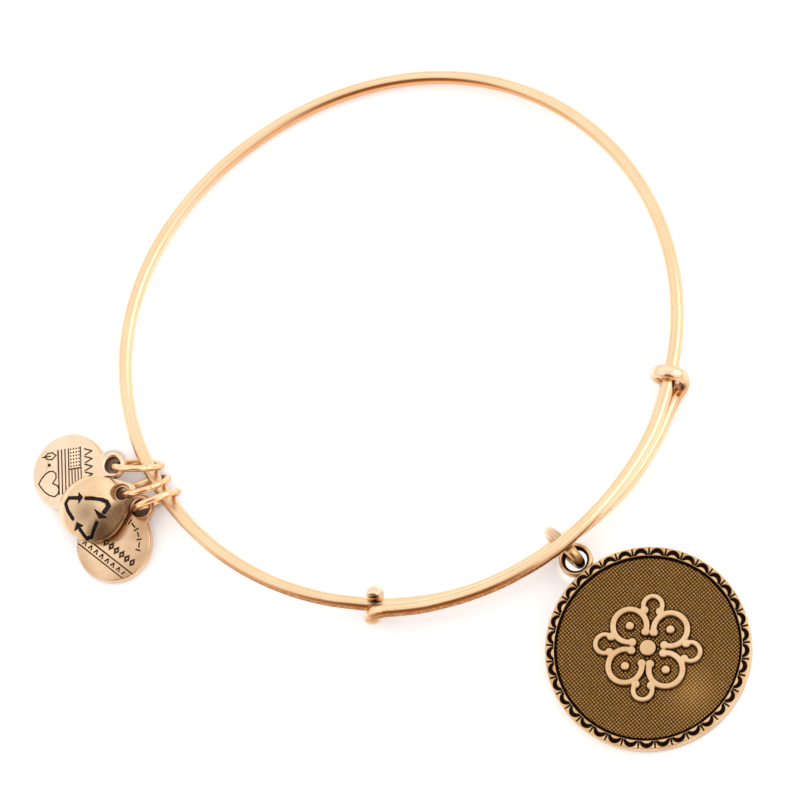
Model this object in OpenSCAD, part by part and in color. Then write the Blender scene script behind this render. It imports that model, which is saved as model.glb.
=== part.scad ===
// Wire bangle with charms, lying flat.
// Millimetres, +Z up from the table. The origin is the middle of the wrist opening, on the table.
// +X and +Y lie in the table. Angles round the bangle are counted from +X towards +Y.

/* [Bangle wire] */
// thickness of the round wire
wire_d = 1.63; // [1.55:0.01:1.68]
// mean radius of the wire's centre line
bangle_r = 32.55; // [32.5:0.01:32.6]
// how much the bangle is pulled into an oval
oval_size = 0.74; // [0.7:0.01:0.78]
// direction of the oval's long axis
oval_dir = 33.2; // [32.5:0.1:34]
// small three sided unevenness of the bent wire
three_lobe = 0.23; // [0.2:0.01:0.26]
// direction of the three sided unevenness
three_dir = 61.1; // [60:0.1:62]
// small four sided unevenness of the bent wire
four_lobe = 0.08; // [0.06:0.01:0.1]
// direction of the four sided unevenness
four_dir = -7.3; // [-8:0.1:-7]
// mean height of the wire's centre line
plane_height = 1.776; // [1.774:0.002:1.79]
// how much the side with the end loops is raised
plane_rise = 0.958; // [0.94:0.002:0.97]
// direction of the raised side
rise_dir = 308.25; // [307:0.25:310]
// how far both flanks of the bangle bow up
flank_bow = 0.25; // [0.24:0.01:0.27]

/* [End loops] */
// angle where the first end wraps the other strand
first_loop_at = 265.9; // [265.5:0.1:266.2]
// angle where the second end wraps the other strand
second_loop_at = 349.9; // [349.5:0.1:350.2]
// distance from the wrapped strand to the middle of the loop's wire
loop_reach = 1.9; // [1.86:0.01:1.93]
// thickness of the flattened wire in a loop
loop_thick = 1.0; // [0.95:0.01:1.05]
// width of the flattened wire in a loop
loop_width = 1.66; // [1.6:0.01:1.72]
// height of the strand inside the loops
loop_axis_z = 2.45; // [2.42:0.01:2.5]

/* [Medallion] */
// radius of the disc
disc_r = 11.93; // [11.88:0.01:12.0]
// thickness of the disc
disc_t = 1.55; // [1.5:0.01:1.6]
// bevel of the disc's edges
disc_bevel = 0.13; // [0.1:0.01:0.16]
// height that the loop's hole is raised above the table
bail_lift = 1.325; // [1.32:0.005:1.33]
// direction from the disc's centre to its loop
disc_heading = 128.95; // [128.5:0.05:129.5]
// width of the rim outside the dark groove
rim_w = 1.04; // [1.02:0.01:1.06]
// width of the groove
groove_w = 0.4; // [0.35:0.01:0.45]
// depth of the field below the rim
field_depth = 0.25; // [0.2:0.01:0.3]
// depth of the groove below the field
groove_depth = 0.25; // [0.2:0.01:0.3]
// number of crescents round the rim
crescents = 37; // [37:1:37]
// land between the groove and the crescents
crescent_land = 0.06; // [0.05:0.01:0.08]
// half width of a crescent
crescent_w = 0.8; // [0.76:0.01:0.82]
// height of a crescent's outer arch
crescent_out = 0.8; // [0.76:0.01:0.82]
// half width of the land inside a crescent
lens_w = 0.6; // [0.56:0.01:0.64]
// height of the land inside a crescent
lens_h = 0.34; // [0.3:0.01:0.38]
// depth of the cuts in the rim
rim_cut = 0.25; // [0.2:0.01:0.3]
// width of the fine strokes between the crescents
tick_w = 0.16; // [0.13:0.01:0.18]

/* [Medallion ornament] */
// width of the raised strokes
scroll_w = 0.8; // [0.7:0.02:0.9]
// height of the strokes above the field
scroll_h = 0.4; // [0.3:0.02:0.5]
// distance from the centre to the middle of a petal
petal_at = 3.35; // [3.3:0.05:3.4]
// radius of a petal's centre line
petal_r = 1.95; // [1.9:0.05:2.0]
// distance from the centre to the middle of a corner curl
curl_at = 5.0; // [4.9:0.05:5.1]
// radius of a corner curl's centre line
curl_r = 1.1; // [1.05:0.05:1.15]
// radius of the balls at the stroke ends
ball_r = 0.55; // [0.5:0.01:0.6]
// radius of the middle boss
boss_r = 1.0; // [0.9:0.05:1.1]

/* [Medallion loop and oval ring] */
// distance from the disc's edge to the middle of the loop's hole
bail_out = 1.69; // [1.66:0.01:1.72]
// outer radius of the loop
bail_r = 1.99; // [1.95:0.01:2.0]
// thickness of the loop
bail_t = 1.35; // [1.3:0.01:1.38]
// radius of the loop's hole
bail_hole_r = 1.3; // [1.26:0.01:1.32]
// bevel of the loop's edges
bail_bevel = 0.18; // [0.15:0.01:0.2]
// wire of the oval ring
oval_wire = 1.32; // [1.3:0.01:1.34]
// radius of the oval ring's round ends, to the middle of the wire
oval_end_r = 1.53; // [1.52:0.01:1.54]
// half length of the oval ring's straight sides
oval_half = 1.05; // [1.03:0.01:1.06]
// direction of the oval ring's long axis
oval_heading = -45.2; // [-45.4:0.1:-45]
// how steeply the oval ring stands
oval_steep = 86; // [85:0.5:87]

/* [Round jump rings] */
// outside diameter of the rings
ring_od = 6.3; // [6.28:0.01:6.32]
// wire of the rings
ring_wire = 0.77; // [0.75:0.01:0.78]
// hairline gap where a ring closes
ring_seam = 0.05; // [0.04:0.01:0.08]

/* [Upper tag] */
// radius of the tag's disc
upper_r = 4.62; // [4.6:0.01:4.65]
// distance from the disc's edge to the middle of the eyelet
upper_out = 1.0; // [0.98:0.01:1.02]
// outer radius of the eyelet
upper_eye_r = 1.6; // [1.55:0.01:1.62]
// radius of the eyelet's hole
upper_hole_r = 0.95; // [0.93:0.01:0.97]

/* [Lower tag] */
// radius of the tag's disc
lower_r = 4.62; // [4.6:0.01:4.65]
// distance from the disc's edge to the middle of the eyelet
lower_out = 0.58; // [0.56:0.01:0.6]
// outer radius of the eyelet
lower_eye_r = 1.55; // [1.5:0.01:1.58]
// radius of the eyelet's hole
lower_hole_r = 0.96; // [0.95:0.01:0.98]

/* [Both tags] */
// thickness of a tag
tag_t = 1.0; // [0.95:0.01:1.02]
// bevel of a tag's edges
tag_bevel = 0.22; // [0.18:0.01:0.25]
// depth of the engraving
engrave = 0.14; // [0.12:0.01:0.16]
// width of a thin engraved line
line_w = 0.14; // [0.12:0.01:0.16]
// width of a bold engraved line
bold_w = 0.26; // [0.22:0.01:0.3]

/* [Domed charm] */
// height of the upright edge
dome_edge = 0.8; // [0.75:0.01:0.82]
// rise of the dome above its edge
dome_rise = 1.95; // [1.9:0.05:2.0]
// radius where the dome meets the flat rim
dome_r = 4.25; // [4.2:0.01:4.3]
// distance from the centre to the hole
dome_hole_at = 3.92; // [3.9:0.01:3.95]
// radius of the hole
dome_hole_r = 0.82; // [0.8:0.01:0.84]
// radius of the sunk seat round the hole
dome_seat_r = 1.06; // [1.02:0.01:1.1]
// thickness left under the seat
dome_seat_t = 0.5; // [0.48:0.01:0.55]
// width of an arrow's shaft
arrow_w = 0.42; // [0.38:0.01:0.46]
// depth of the arrows
arrow_depth = 0.22; // [0.2:0.01:0.25]

/* [Hidden] */

// Small overlaps that keep cuts open and joints solid.
cut = 0.5;
bite = 0.01;
// Smoothness of large and small round things.
fine = 120;
small = 40;
// The swept wire: sides of its section and steps between two stations.
wire_sides = 16;
wire_steps = 2;
main_step = 6;
loop_step = 30;

// Plan angle along the first strand, with its distance outside the natural curve and its height, both
// counted in wire thicknesses.
first_strand = [
    [270.9, 0.693, 2.466], [274.7, 0.706, 2.54], [278.5, 0.718, 2.626], [285.8, 0.748, 2.859],
    [293.1, 0.798, 3.067], [300.2, 0.822, 3.202], [304, 0.816, 3.233], [307.3, 0.779, 3.221],
    [314.5, 0.583, 2.92], [321.8, 0.411, 2.491], [329.4, 0.282, 2.086], [337.1, 0.196, 1.779],
    [343, 0.061, 1.595]
];
// The same along the second strand, on its way back under the first.
second_strand = [
    [266.6, 0.018, 1.503], [270.4, 0.049, 1.503], [278, 0.061, 1.472], [285.4, 0.074, 1.423],
    [292.8, 0.049, 1.387], [300.1, 0.012, 1.356], [303.8, -0.018, 1.35], [307.5, -0.018, 1.331],
    [314.9, 0.184, 1.196], [322.4, 0.337, 0.982], [330, 0.38, 0.785], [337.8, 0.387, 0.626],
    [343, 0.368, 0.54]
];
// Where the ends swing into their loops: the turn round the wrapped strand (0 is outward, 90 is up),
// the place along that strand and the distance from it in shares of the loop's reach, and the wire's flatness.
first_swing = [[17, 0.05, 1.0, 0.85], [43, 0.33, 0.99, 0.45], [54, 0.84, 0.98, 0.0]];
second_swing = [
    [-66, -1.08, 0.905, 0.0], [-50, -0.71, 0.926, 0.2], [-28, -0.45, 0.958, 0.5], [2, -0.21, 0.99, 0.85]
];
// Turns of the stations in the loops, and how far a loop runs along the strand, in shares of its reach.
first_turns = [-250, -225, -195, -165, -135, -105, -75, -45, -15];
first_shift = [0.105, -0.026];
second_turns = [36, 66, 96, 126, 156, 186, 216, 246, 284];
second_shift = [0, 0];
// Turn of the wire's section where each strand begins.
first_turn = 54;
second_turn = -66;

// Sizes of the medallion that follow its disc.
bail_at = disc_r + bail_out;
disc_tilt = asin(bail_lift/(disc_r - disc_bevel + bail_at));
groove_r = disc_r - rim_w;
crescent_r = groove_r + crescent_land;
tick_l = crescent_out + 0.08;

// A plan position at an angle round the bangle and a distance outside its natural curve.
function beside(place) = (natural_r(place[0]) + place[1])*[cos(place[0]), sin(place[0])];
// The plan position of a charm's middle, from the place and the reach of its hole, its heading and its pitch.
function hung(place, reach, heading, pitch) =
    beside(place) - reach*cos(pitch)*[cos(heading), sin(heading)];

// Angle round the bangle and distance outside it for the oval ring and for the hole of the medallion's loop.
oval_place = [307.56, 0.503*oval_end_r];
bail_place = [307.79, 1.853*oval_end_r];

// Heights that keep each standing ring on the table.
ring_r = (ring_od - ring_wire)/2;
oval_z = oval_wire/2 + oval_end_r*sin(oval_steep);

// Place beside the bangle of each round ring, then its lean and heading and the angle of its seam.
upper_ring_place = [205.85, 0.151*ring_od];
upper_ring_turn = [66.8, 87.6, 212.7];
middle_ring_place = [210.21, 0.205*ring_od];
middle_ring_turn = [62.2, 106.6, 198.3];
lower_ring_place = [214.05, 0.18*ring_od];
lower_ring_turn = [75.3, 110.6, 20];

// Place beside the bangle of each charm's hole, then the direction of the hole and the charm's pitch.
upper_tag_place = [203.52, 0.56*ring_od];
upper_tag_turn = [3.8, 11.3];
lower_tag_place = [213.1, 0.487*ring_od];
lower_tag_turn = [51.4, 8.8];
dome_place = [209.59, 0.642*ring_od];
dome_turn = [28, 7.5];
dome_z = 2.43*tag_t;

// Angle from the direction of the domed charm's hole, and the outline's radius as a share of the dome's.
dome_outline = [
    [-2, 1.353], [12, 1.165], [35, 0.981], [62, 0.941], [86, 0.969], [107, 1.005],
    [128, 1.016], [148, 0.984], [169, 0.941], [196, 0.894], [232, 0.894], [255, 0.887],
    [285, 0.901], [314, 0.922], [340, 1.078], [352, 1.247]
];
dome_sides = 64;
dome_rings = 9;

// The wire.

function natural_r(t) = bangle_r + oval_size*cos(2*(t - oval_dir)) + three_lobe*cos(3*(t - three_dir))
    + four_lobe*cos(4*(t - four_dir));
function natural_z(t) = plane_height + plane_rise*cos(t - rise_dir) + flank_bow*(1 - cos(2*(t - rise_dir)));
function outward(t) = [cos(t), sin(t), 0];
function forward(t) = [-sin(t), cos(t), 0];
function spoke(t, turn) = cos(turn)*outward(t) + sin(turn)*[0, 0, 1];
function on_curve(t, out, z) = (natural_r(t) + out)*outward(t) + [0, 0, z];
function blend(a, b, f) = a + (b - a)*f;

// A station is a point, a spoke that sets the section's turn, and the section's flatness from 0 to 1.
function strand_station(row, turn) = [on_curve(row[0], row[1]*wire_d, row[2]*wire_d), spoke(row[0], turn), 0];
function loop_station(t, turn, along, reach, flat) =
    [on_curve(t, 0, loop_axis_z) + loop_reach*(along*forward(t) + reach*spoke(t, turn)), spoke(t, turn), flat];
function loop_part(t, turns, shift) = let (n = len(turns) - 1)
    [for (i = [0:n]) loop_station(t, turns[i], blend(shift[0], shift[1], i/n), 1, 1)];
function swing_part(t, rows) = [for (s = rows) loop_station(t, s[0], s[1], s[2], s[3])];

main_from = 349;
main_to = 622;
main_count = ceil((main_to - main_from)/main_step);
main_part = [for (i = [0:main_count - 1])
    let (f = i/(main_count - 1), t = blend(main_from, main_to, f))
    [on_curve(t, 0, natural_z(t)), spoke(t, blend(first_turn, second_turn, f)), 0]];
stations = concat(
    loop_part(first_loop_at, first_turns, first_shift),
    swing_part(first_loop_at, first_swing),
    [for (row = first_strand) strand_station(row, first_turn)],
    main_part,
    [for (row = second_strand) strand_station(row, second_turn)],
    swing_part(second_loop_at, second_swing),
    loop_part(second_loop_at, second_turns, second_shift));

// Smooth curve through the stations, with slopes measured along the chords.
function chord(i) = norm(stations[i + 1][0] - stations[i][0]);
function slope(i) =
    let (a = max(i - 1, 0), b = min(i + 1, len(stations) - 1))
    (stations[b][0] - stations[a][0])
    /(norm(stations[b][0] - stations[i][0]) + norm(stations[i][0] - stations[a][0]));
function smooth_point(i, f) =
    let (h = chord(i), g = f*f, k = f*f*f)
    (2*k - 3*g + 1)*stations[i][0] + (k - 2*g + f)*h*slope(i)
    + (3*g - 2*k)*stations[i + 1][0] + (k - g)*h*slope(i + 1);
last_station = len(stations) - 1;
path = [for (i = [0:last_station]) for (s = [0:(i == last_station ? 0 : wire_steps - 1)])
    let (f = s/wire_steps, j = min(i + 1, last_station))
    [i == last_station ? stations[i][0] : smooth_point(i, f),
     blend(stations[i][1], stations[j][1], f), blend(stations[i][2], stations[j][2], f)]];
last_ring = len(path) - 1;

function path_way(i) = let (v = path[min(i + 1, last_ring)][0] - path[max(i - 1, 0)][0]) v/norm(v);
function unit(v) = v/norm(v);
function section(i, grow, shift) =
    let (way = path_way(i), up = unit(path[i][1] - (path[i][1]*way)*way), side = cross(way, up),
         thick = blend(wire_d, loop_thick, path[i][2])/2*grow,
         wide = blend(wire_d, loop_width, path[i][2])/2*grow)
    [for (k = [0:wire_sides - 1]) let (a = 360*k/wire_sides)
        path[i][0] + shift*way + thick*cos(a)*up + wide*sin(a)*side];

// The ends are rounded by one smaller section beyond each end.
end_round = 0.22;
end_grow = 0.62;
wire_rings = concat([section(0, end_grow, -end_round)], [for (i = [0:last_ring]) section(i, 1, 0)],
                    [section(last_ring, end_grow, end_round)]);
ring_count = len(wire_rings);

module bangle_wire() {
    points = [for (r = wire_rings) for (p = r) p];
    sides = [for (r = [0:ring_count - 2]) for (k = [0:wire_sides - 1])
        let (a = r*wire_sides, n = (k + 1) % wire_sides)
        each [[a + k, a + wire_sides + k, a + wire_sides + n], [a + k, a + wire_sides + n, a + n]]];
    start = [[for (k = [0:wire_sides - 1]) k]];
    finish = [[for (k = [wire_sides - 1:-1:0]) (ring_count - 1)*wire_sides + k]];
    color([0.93, 0.72, 0.50]) polyhedron(points, concat(start, sides, finish), convexity = 10);
}

// Flat strokes used by the ornament and the engraving.

module ring_stroke(r, from, to, w) {
    reach = 1.3*(r + w);
    steps = ceil((to - from)/45);
    intersection() {
        difference() {
            circle(r = r + w/2, $fn = fine);
            circle(r = r - w/2, $fn = fine);
        }
        polygon(concat([[0, 0]],
            [for (i = [0:steps]) let (a = blend(from, to, i/steps)) reach*[cos(a), sin(a)]]));
    }
}

module line_stroke(a, b, w) {
    run = b - a;
    translate(a) rotate(atan2(run[1], run[0])) translate([0, -w/2]) square([norm(run), w]);
}

module path_stroke(points, w) {
    for (i = [0:len(points) - 2]) line_stroke(points[i], points[i + 1], w);
    for (p = points) translate(p) circle(r = w/2, $fn = 12);
}

// The medallion lies with its centre at the origin and its loop towards +X.

module bevelled_disc(r, t, bevel) {
    rotate_extrude($fn = fine)
        polygon([[0, 0], [r - bevel, 0], [r, bevel], [r, t - bevel], [r - bevel, t], [0, t]]);
}

function arch_r(w, h) = (w*w + h*h)/(2*h);

module crescent() {
    outer = arch_r(crescent_w, crescent_out);
    inner = arch_r(lens_w, lens_h);
    difference() {
        translate([crescent_r + crescent_out - outer, 0]) circle(r = outer, $fn = small);
        translate([crescent_r + lens_h - inner, 0]) circle(r = inner, $fn = small);
        translate([0, -crescent_w*2]) square([crescent_r, crescent_w*4]);
    }
}

module tick() {
    translate([crescent_r, -tick_w/2]) square([tick_l, tick_w]);
}

module rim_cuts() {
    step = 360/crescents;
    for (i = [0:crescents - 1]) rotate(step*i) tick();
    for (i = [0:crescents - 1]) rotate(step*(i + 0.5)) crescent();
}

module scroll_ornament() {
    circle(r = boss_r, $fn = small);
    for (i = [0:3]) rotate(90*i) {
        translate([petal_at, 0]) {
            ring_stroke(petal_r, -150, 150, scroll_w);
            circle(r = ball_r, $fn = small);
            for (s = [-1, 1]) rotate(150*s) translate([petal_r, 0]) circle(r = ball_r, $fn = small);
        }
        rotate(45) translate([curl_at, 0]) {
            ring_stroke(curl_r, -125, 125, scroll_w*0.85);
            for (s = [-1, 1]) rotate(125*s) translate([curl_r, 0]) circle(r = ball_r, $fn = small);
        }
    }
}

module medallion_bail() {
    translate([bail_at, 0, 0]) difference() {
        bevelled_disc(bail_r, bail_t, bail_bevel);
        translate([0, 0, -cut]) cylinder(r = bail_hole_r, h = bail_t + 2*cut, $fn = fine);
        translate([0, 0, bail_t - bail_bevel])
            cylinder(r1 = bail_hole_r, r2 = bail_hole_r + 2*bail_bevel, h = 2*bail_bevel, $fn = fine);
    }
}

module medallion_flat() {
    field_z = disc_t - field_depth;
    difference() {
        bevelled_disc(disc_r, disc_t, disc_bevel);
        translate([0, 0, field_z]) cylinder(r = groove_r, h = field_depth + cut, $fn = fine);
        translate([0, 0, field_z - groove_depth]) difference() {
            cylinder(r = groove_r, h = groove_depth + cut, $fn = fine);
            translate([0, 0, -cut]) cylinder(r = groove_r - groove_w, h = groove_depth + 3*cut, $fn = fine);
        }
        translate([0, 0, disc_t - rim_cut]) linear_extrude(rim_cut + cut) rim_cuts();
    }
    translate([0, 0, field_z - bite]) linear_extrude(scroll_h + bite) scroll_ornament();
    medallion_bail();
}

module medallion() {
    at = hung(bail_place, bail_at, disc_heading, disc_tilt);
    low = (disc_r - disc_bevel)*sin(disc_tilt);
    color([0.62, 0.42, 0.24]) translate([at[0], at[1], low])
        rotate([0, -disc_tilt, disc_heading]) medallion_flat();
}

// The oval ring: two half rounds and two straight sides.

module medallion_ring() {
    at = beside(oval_place);
    color([0.80, 0.60, 0.40]) translate([at[0], at[1], oval_z])
    rotate([oval_steep, 0, oval_heading]) {
        for (s = [0, 180]) rotate(s) translate([oval_half - bite, 0, 0]) rotate(-90)
            rotate_extrude(angle = 180, $fn = fine)
                translate([oval_end_r, 0]) circle(r = oval_wire/2, $fn = small);
        for (s = [-1, 1]) translate([-oval_half, s*oval_end_r, 0]) rotate([0, 90, 0])
            cylinder(r = oval_wire/2, h = 2*oval_half, $fn = small);
    }
}

// The round jump rings stand steeply on the table.

module jump_ring(place, turn) {
    open = asin(ring_seam/ring_r);
    at = beside(place);
    color([0.92, 0.66, 0.42]) translate([at[0], at[1], ring_r*sin(turn[0]) + ring_wire/2])
        rotate([0, turn[0], turn[1]]) rotate(turn[2] + open/2)
        rotate_extrude(angle = 360 - open, $fn = fine)
            translate([ring_r, 0]) circle(r = ring_wire/2, $fn = small);
}

module upper_ring() {
    jump_ring(upper_ring_place, upper_ring_turn);
}

module middle_ring() {
    jump_ring(middle_ring_place, middle_ring_turn);
}

module lower_ring() {
    jump_ring(lower_ring_place, lower_ring_turn);
}

// A tag lies with its disc at the origin and its eyelet towards +X.

module tag_blank(r, reach, eye_r, hole_r, neck) {
    difference() {
        union() {
            bevelled_disc(r, tag_t, tag_bevel);
            translate([reach, 0, 0]) bevelled_disc(eye_r, tag_t, tag_bevel);
            linear_extrude(tag_t) polygon(neck);
        }
        translate([reach, 0, -cut]) cylinder(r = hole_r, h = tag_t + 2*cut, $fn = small);
        translate([reach, 0, tag_t - tag_bevel])
            cylinder(r1 = hole_r, r2 = hole_r + 2*tag_bevel, h = 2*tag_bevel, $fn = small);
    }
}

module place_tag(place, turn, r, reach) {
    at = hung(place, reach, turn[0], turn[1]);
    translate([at[0], at[1], (r - tag_bevel)*sin(turn[1])]) rotate([0, -turn[1], turn[0]]) children();
}

module engraved() {
    translate([0, 0, tag_t - engrave]) linear_extrude(engrave + cut) children();
}

// The upper tag: a striped panel with a dotted corner, a heart, a small leaf and a zigzag. All points are
// shares of the tag's radius.
upper_neck = [[0.84, -0.38], [1.02, -0.28], [1.21, -0.28], [1.21, 0.28], [1.02, 0.28], [0.84, 0.38]];
panel_stripes = [-0.27, -0.175, -0.08, 0.015];
corner_stripes = [0.1, 0.185, 0.27, 0.355];
panel_top = 0.605;
panel_bottom = -0.585;
corner_bottom = 0.045;
corner_dot = [0.078, 0.12];
corner_step = [0.078, 0.091];
dot_r = 0.02;
leaf_at = [-0.5, 0.47];
leaf = [[0.17, 0], [0.06, 0.09], [-0.06, 0.08], [-0.15, 0]];
zigzag = [[0.465, 0.53], [0.67, 0.444], [0.465, 0.357]];
zigzag_step = 0.206;
heart = [
    [-0.835, -0.227], [-0.758, -0.097], [-0.649, 0.011], [-0.541, 0.069], [-0.426, 0.065],
    [-0.351, -0.011], [-0.346, -0.13], [-0.444, -0.26], [-0.314, -0.335], [-0.271, -0.455],
    [-0.307, -0.563], [-0.4, -0.617], [-0.541, -0.563], [-0.671, -0.455], [-0.835, -0.227]
];

module upper_marks() {
    r = upper_r;
    for (x = panel_stripes) line_stroke(r*[x, panel_top], r*[x, panel_bottom], line_w);
    for (x = corner_stripes) line_stroke(r*[x, corner_bottom], r*[x, panel_bottom], line_w);
    line_stroke(r*[0.015, corner_bottom], r*[0.37, corner_bottom], line_w);
    line_stroke(r*[0.355, panel_top], r*[0.355, corner_bottom], line_w*0.7);
    for (i = [0:3]) for (j = [0:5])
        translate(r*(corner_dot + [i*corner_step[0], j*corner_step[1]])) circle(r = r*dot_r, $fn = 8);
    path_stroke(r*heart, line_w);
    for (side = [-1, 1]) path_stroke([for (p = leaf) r*(leaf_at + [p[0], side*p[1]])], line_w);
    line_stroke(r*(leaf_at - [0.22, 0]), r*(leaf_at + [0.02, 0]), line_w);
    translate(r*[-0.53, 0.24]) circle(r = r*0.043, $fn = 16);
    for (i = [0:5]) translate([0, -r*zigzag_step*i]) path_stroke(r*zigzag, line_w);
}

module upper_tag() {
    reach = upper_r + upper_out;
    color([0.97, 0.80, 0.60]) place_tag(upper_tag_place, upper_tag_turn, upper_r, reach) difference() {
        tag_blank(upper_r, reach, upper_eye_r, upper_hole_r, upper_r*upper_neck);
        engraved() upper_marks();
    }
}

// The lower tag: two rules, a bold row of lozenges, slanted strokes and an arc of marks. All points are
// shares of the tag's radius.
lower_neck = [[0.78, -0.51], [0.93, -0.37], [1.125, -0.314], [1.125, 0.314], [0.93, 0.37], [0.78, 0.51]];

module lozenge(high, wide) {
    polygon([[-high/2, 0], [0, -wide/2], [high/2, 0], [0, wide/2]]);
}

module lower_marks() {
    r = lower_r;
    line_stroke(r*[-0.325, 0.89], r*[-0.325, -0.89], line_w);
    line_stroke(r*[-0.563, 0.76], r*[-0.563, -0.76], line_w*0.8);
    for (i = [-4:4]) translate(r*[-0.1, 0.178*i]) difference() {
        lozenge(0.24*r, 0.165*r);
        lozenge(0.07*r, 0.05*r);
    }
    for (i = [-7:7]) translate(r*[-0.502, 0.095*i]) rotate(i % 2 == 0 ? 22 : -22)
        translate([0, -line_w*0.55]) square([0.12*r, line_w*1.1]);
    for (i = [-6:6]) rotate(11.5*i) translate([0.68*r, 0]) rotate(i % 2 == 0 ? 0 : 90)
        translate([-0.07*r, -bold_w/3]) square([0.14*r, bold_w*2/3]);
}

module lower_tag() {
    reach = lower_r + lower_out;
    color([0.92, 0.72, 0.50]) place_tag(lower_tag_place, lower_tag_turn, lower_r, reach) difference() {
        tag_blank(lower_r, reach, lower_eye_r, lower_hole_r, lower_r*lower_neck);
        engraved() lower_marks();
    }
}

// The domed charm lies with its middle at the origin and its hole towards +X.
outline_count = len(dome_outline);
function outline_at(i) = let (k = (i + outline_count) % outline_count, row = dome_outline[k])
    [row[0] + 360*floor(i/outline_count), dome_r*row[1]];
function outline_slope(i) = let (a = outline_at(i - 1), b = outline_at(i + 1)) (b[1] - a[1])/(b[0] - a[0]);
function outline_span(angle, i) = angle < outline_at(i + 1)[0] ? i : outline_span(angle, i + 1);
function outline_r(angle) =
    let (i = outline_span(angle, 0), p = outline_at(i), q = outline_at(i + 1), h = q[0] - p[0],
         f = (angle - p[0])/h, g = f*f, k = f*f*f)
    (2*k - 3*g + 1)*p[1] + (k - 2*g + f)*h*outline_slope(i)
    + (3*g - 2*k)*q[1] + (k - g)*h*outline_slope(i + 1);
function dome_height(d) = dome_edge + dome_rise*pow(1 - pow(min(d/dome_r, 1), 2.2), 0.62);

module dome_body(lower) {
    shares = [for (i = [0:dome_rings - 1]) sin(90*(i + 1)/dome_rings)];
    radii = [for (k = [0:dome_sides - 1]) outline_r(-2 + 360*k/dome_sides)];
    foot_z = lower > 0 ? -cut : 0;
    foot = [for (k = [0:dome_sides - 1]) let (a = -2 + 360*k/dome_sides)
        [0.97*radii[k]*cos(a), 0.97*radii[k]*sin(a), foot_z]];
    shell = [for (i = [0:dome_rings - 1]) for (k = [0:dome_sides - 1])
        let (f = shares[dome_rings - 1 - i], a = -2 + 360*k/dome_sides)
        [f*radii[k]*cos(a), f*radii[k]*sin(a), dome_height(f*radii[k]) - lower]];
    peak = [[0, 0, dome_height(0) - lower]];
    points = concat(foot, shell, peak);
    last = dome_rings*dome_sides;
    faces = concat(
        [[for (k = [0:dome_sides - 1]) k]],
        [for (i = [0:dome_rings - 1]) for (k = [0:dome_sides - 1])
            let (a = i*dome_sides, n = (k + 1) % dome_sides)
            each [[a + k, a + dome_sides + k, a + dome_sides + n], [a + k, a + dome_sides + n, a + n]]],
        [for (k = [0:dome_sides - 1]) [last + k, last + dome_sides, last + (k + 1) % dome_sides]]);
    polyhedron(points, faces, convexity = 4);
}

// Shaft points and head corners of the three chasing arrows, as shares of the dome's radius.
arrow_shafts = [
    [[-0.541, -0.052], [-0.569, 0.235], [-0.541, 0.471], [-0.388, 0.553], [-0.151, 0.388]],
    [[0.064, 0.24], [0.407, 0.024], [0.499, -0.094], [0.494, -0.224], [0.318, -0.353]],
    [[0.009, -0.515], [-0.325, -0.741], [-0.48, -0.694], [-0.506, -0.424]]
];
arrow_heads = [
    [[0, 0.311], [-0.056, 0.525], [-0.207, 0.221]],
    [[0.122, -0.454], [0.134, -0.16], [0.311, -0.518]],
    [[-0.48, -0.2], [-0.668, -0.353], [-0.353, -0.388]]
];

module arrows() {
    for (s = arrow_shafts) path_stroke(dome_r*s, arrow_w);
    for (h = arrow_heads) polygon(dome_r*h);
}

module domed_charm() {
    at = hung(dome_place, dome_hole_at, dome_turn[0], dome_turn[1]);
    color([0.80, 0.60, 0.40]) translate([at[0], at[1], dome_z])
    rotate([0, -dome_turn[1], dome_turn[0]]) difference() {
        dome_body(0);
        translate([dome_hole_at, 0, -cut])
            cylinder(r = dome_hole_r, h = dome_edge + dome_rise + 2*cut, $fn = small);
        translate([dome_hole_at, 0, dome_seat_t])
            cylinder(r = dome_seat_r, h = dome_edge + dome_rise, $fn = small);
        difference() {
            linear_extrude(dome_edge + dome_rise + cut) arrows();
            dome_body(arrow_depth);
        }
    }
}

bangle_wire();
medallion();
medallion_ring();
upper_ring();
middle_ring();
lower_ring();
upper_tag();
lower_tag();
domed_charm();
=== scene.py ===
"""Looks of the charm bangle: finer pieces, metal finishes, soft light and the camera.

Lengths in the tables and named sizes are millimetres, as in the solid model; meshes are made in metres.
"""

import math

import bmesh
import bpy
import numpy as np
from mathutils import Matrix, Vector


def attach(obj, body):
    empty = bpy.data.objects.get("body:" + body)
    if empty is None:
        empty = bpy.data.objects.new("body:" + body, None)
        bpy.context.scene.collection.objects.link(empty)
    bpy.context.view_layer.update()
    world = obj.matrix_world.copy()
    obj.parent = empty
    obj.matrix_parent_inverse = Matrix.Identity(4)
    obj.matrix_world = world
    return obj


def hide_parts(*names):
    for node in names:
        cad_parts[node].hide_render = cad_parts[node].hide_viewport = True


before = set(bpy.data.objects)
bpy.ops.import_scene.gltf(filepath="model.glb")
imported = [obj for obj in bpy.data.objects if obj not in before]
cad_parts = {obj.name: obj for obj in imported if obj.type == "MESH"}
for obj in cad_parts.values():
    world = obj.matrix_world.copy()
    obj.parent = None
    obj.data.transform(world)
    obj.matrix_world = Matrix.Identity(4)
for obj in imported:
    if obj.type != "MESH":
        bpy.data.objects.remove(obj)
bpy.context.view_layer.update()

MM = 0.001

# Camera: the photograph's viewing angle, and the point of the table at the middle of the picture.
CAMERA_ELEVATION = 70.0
CAMERA_AZIMUTH = 303.5
CAMERA_DISTANCE = 900.0
CAMERA_TARGET = (-0.353, -6.923, 0.0)
PICTURE_WIDTH = 93.6
SENSOR_WIDTH = 36.0

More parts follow.
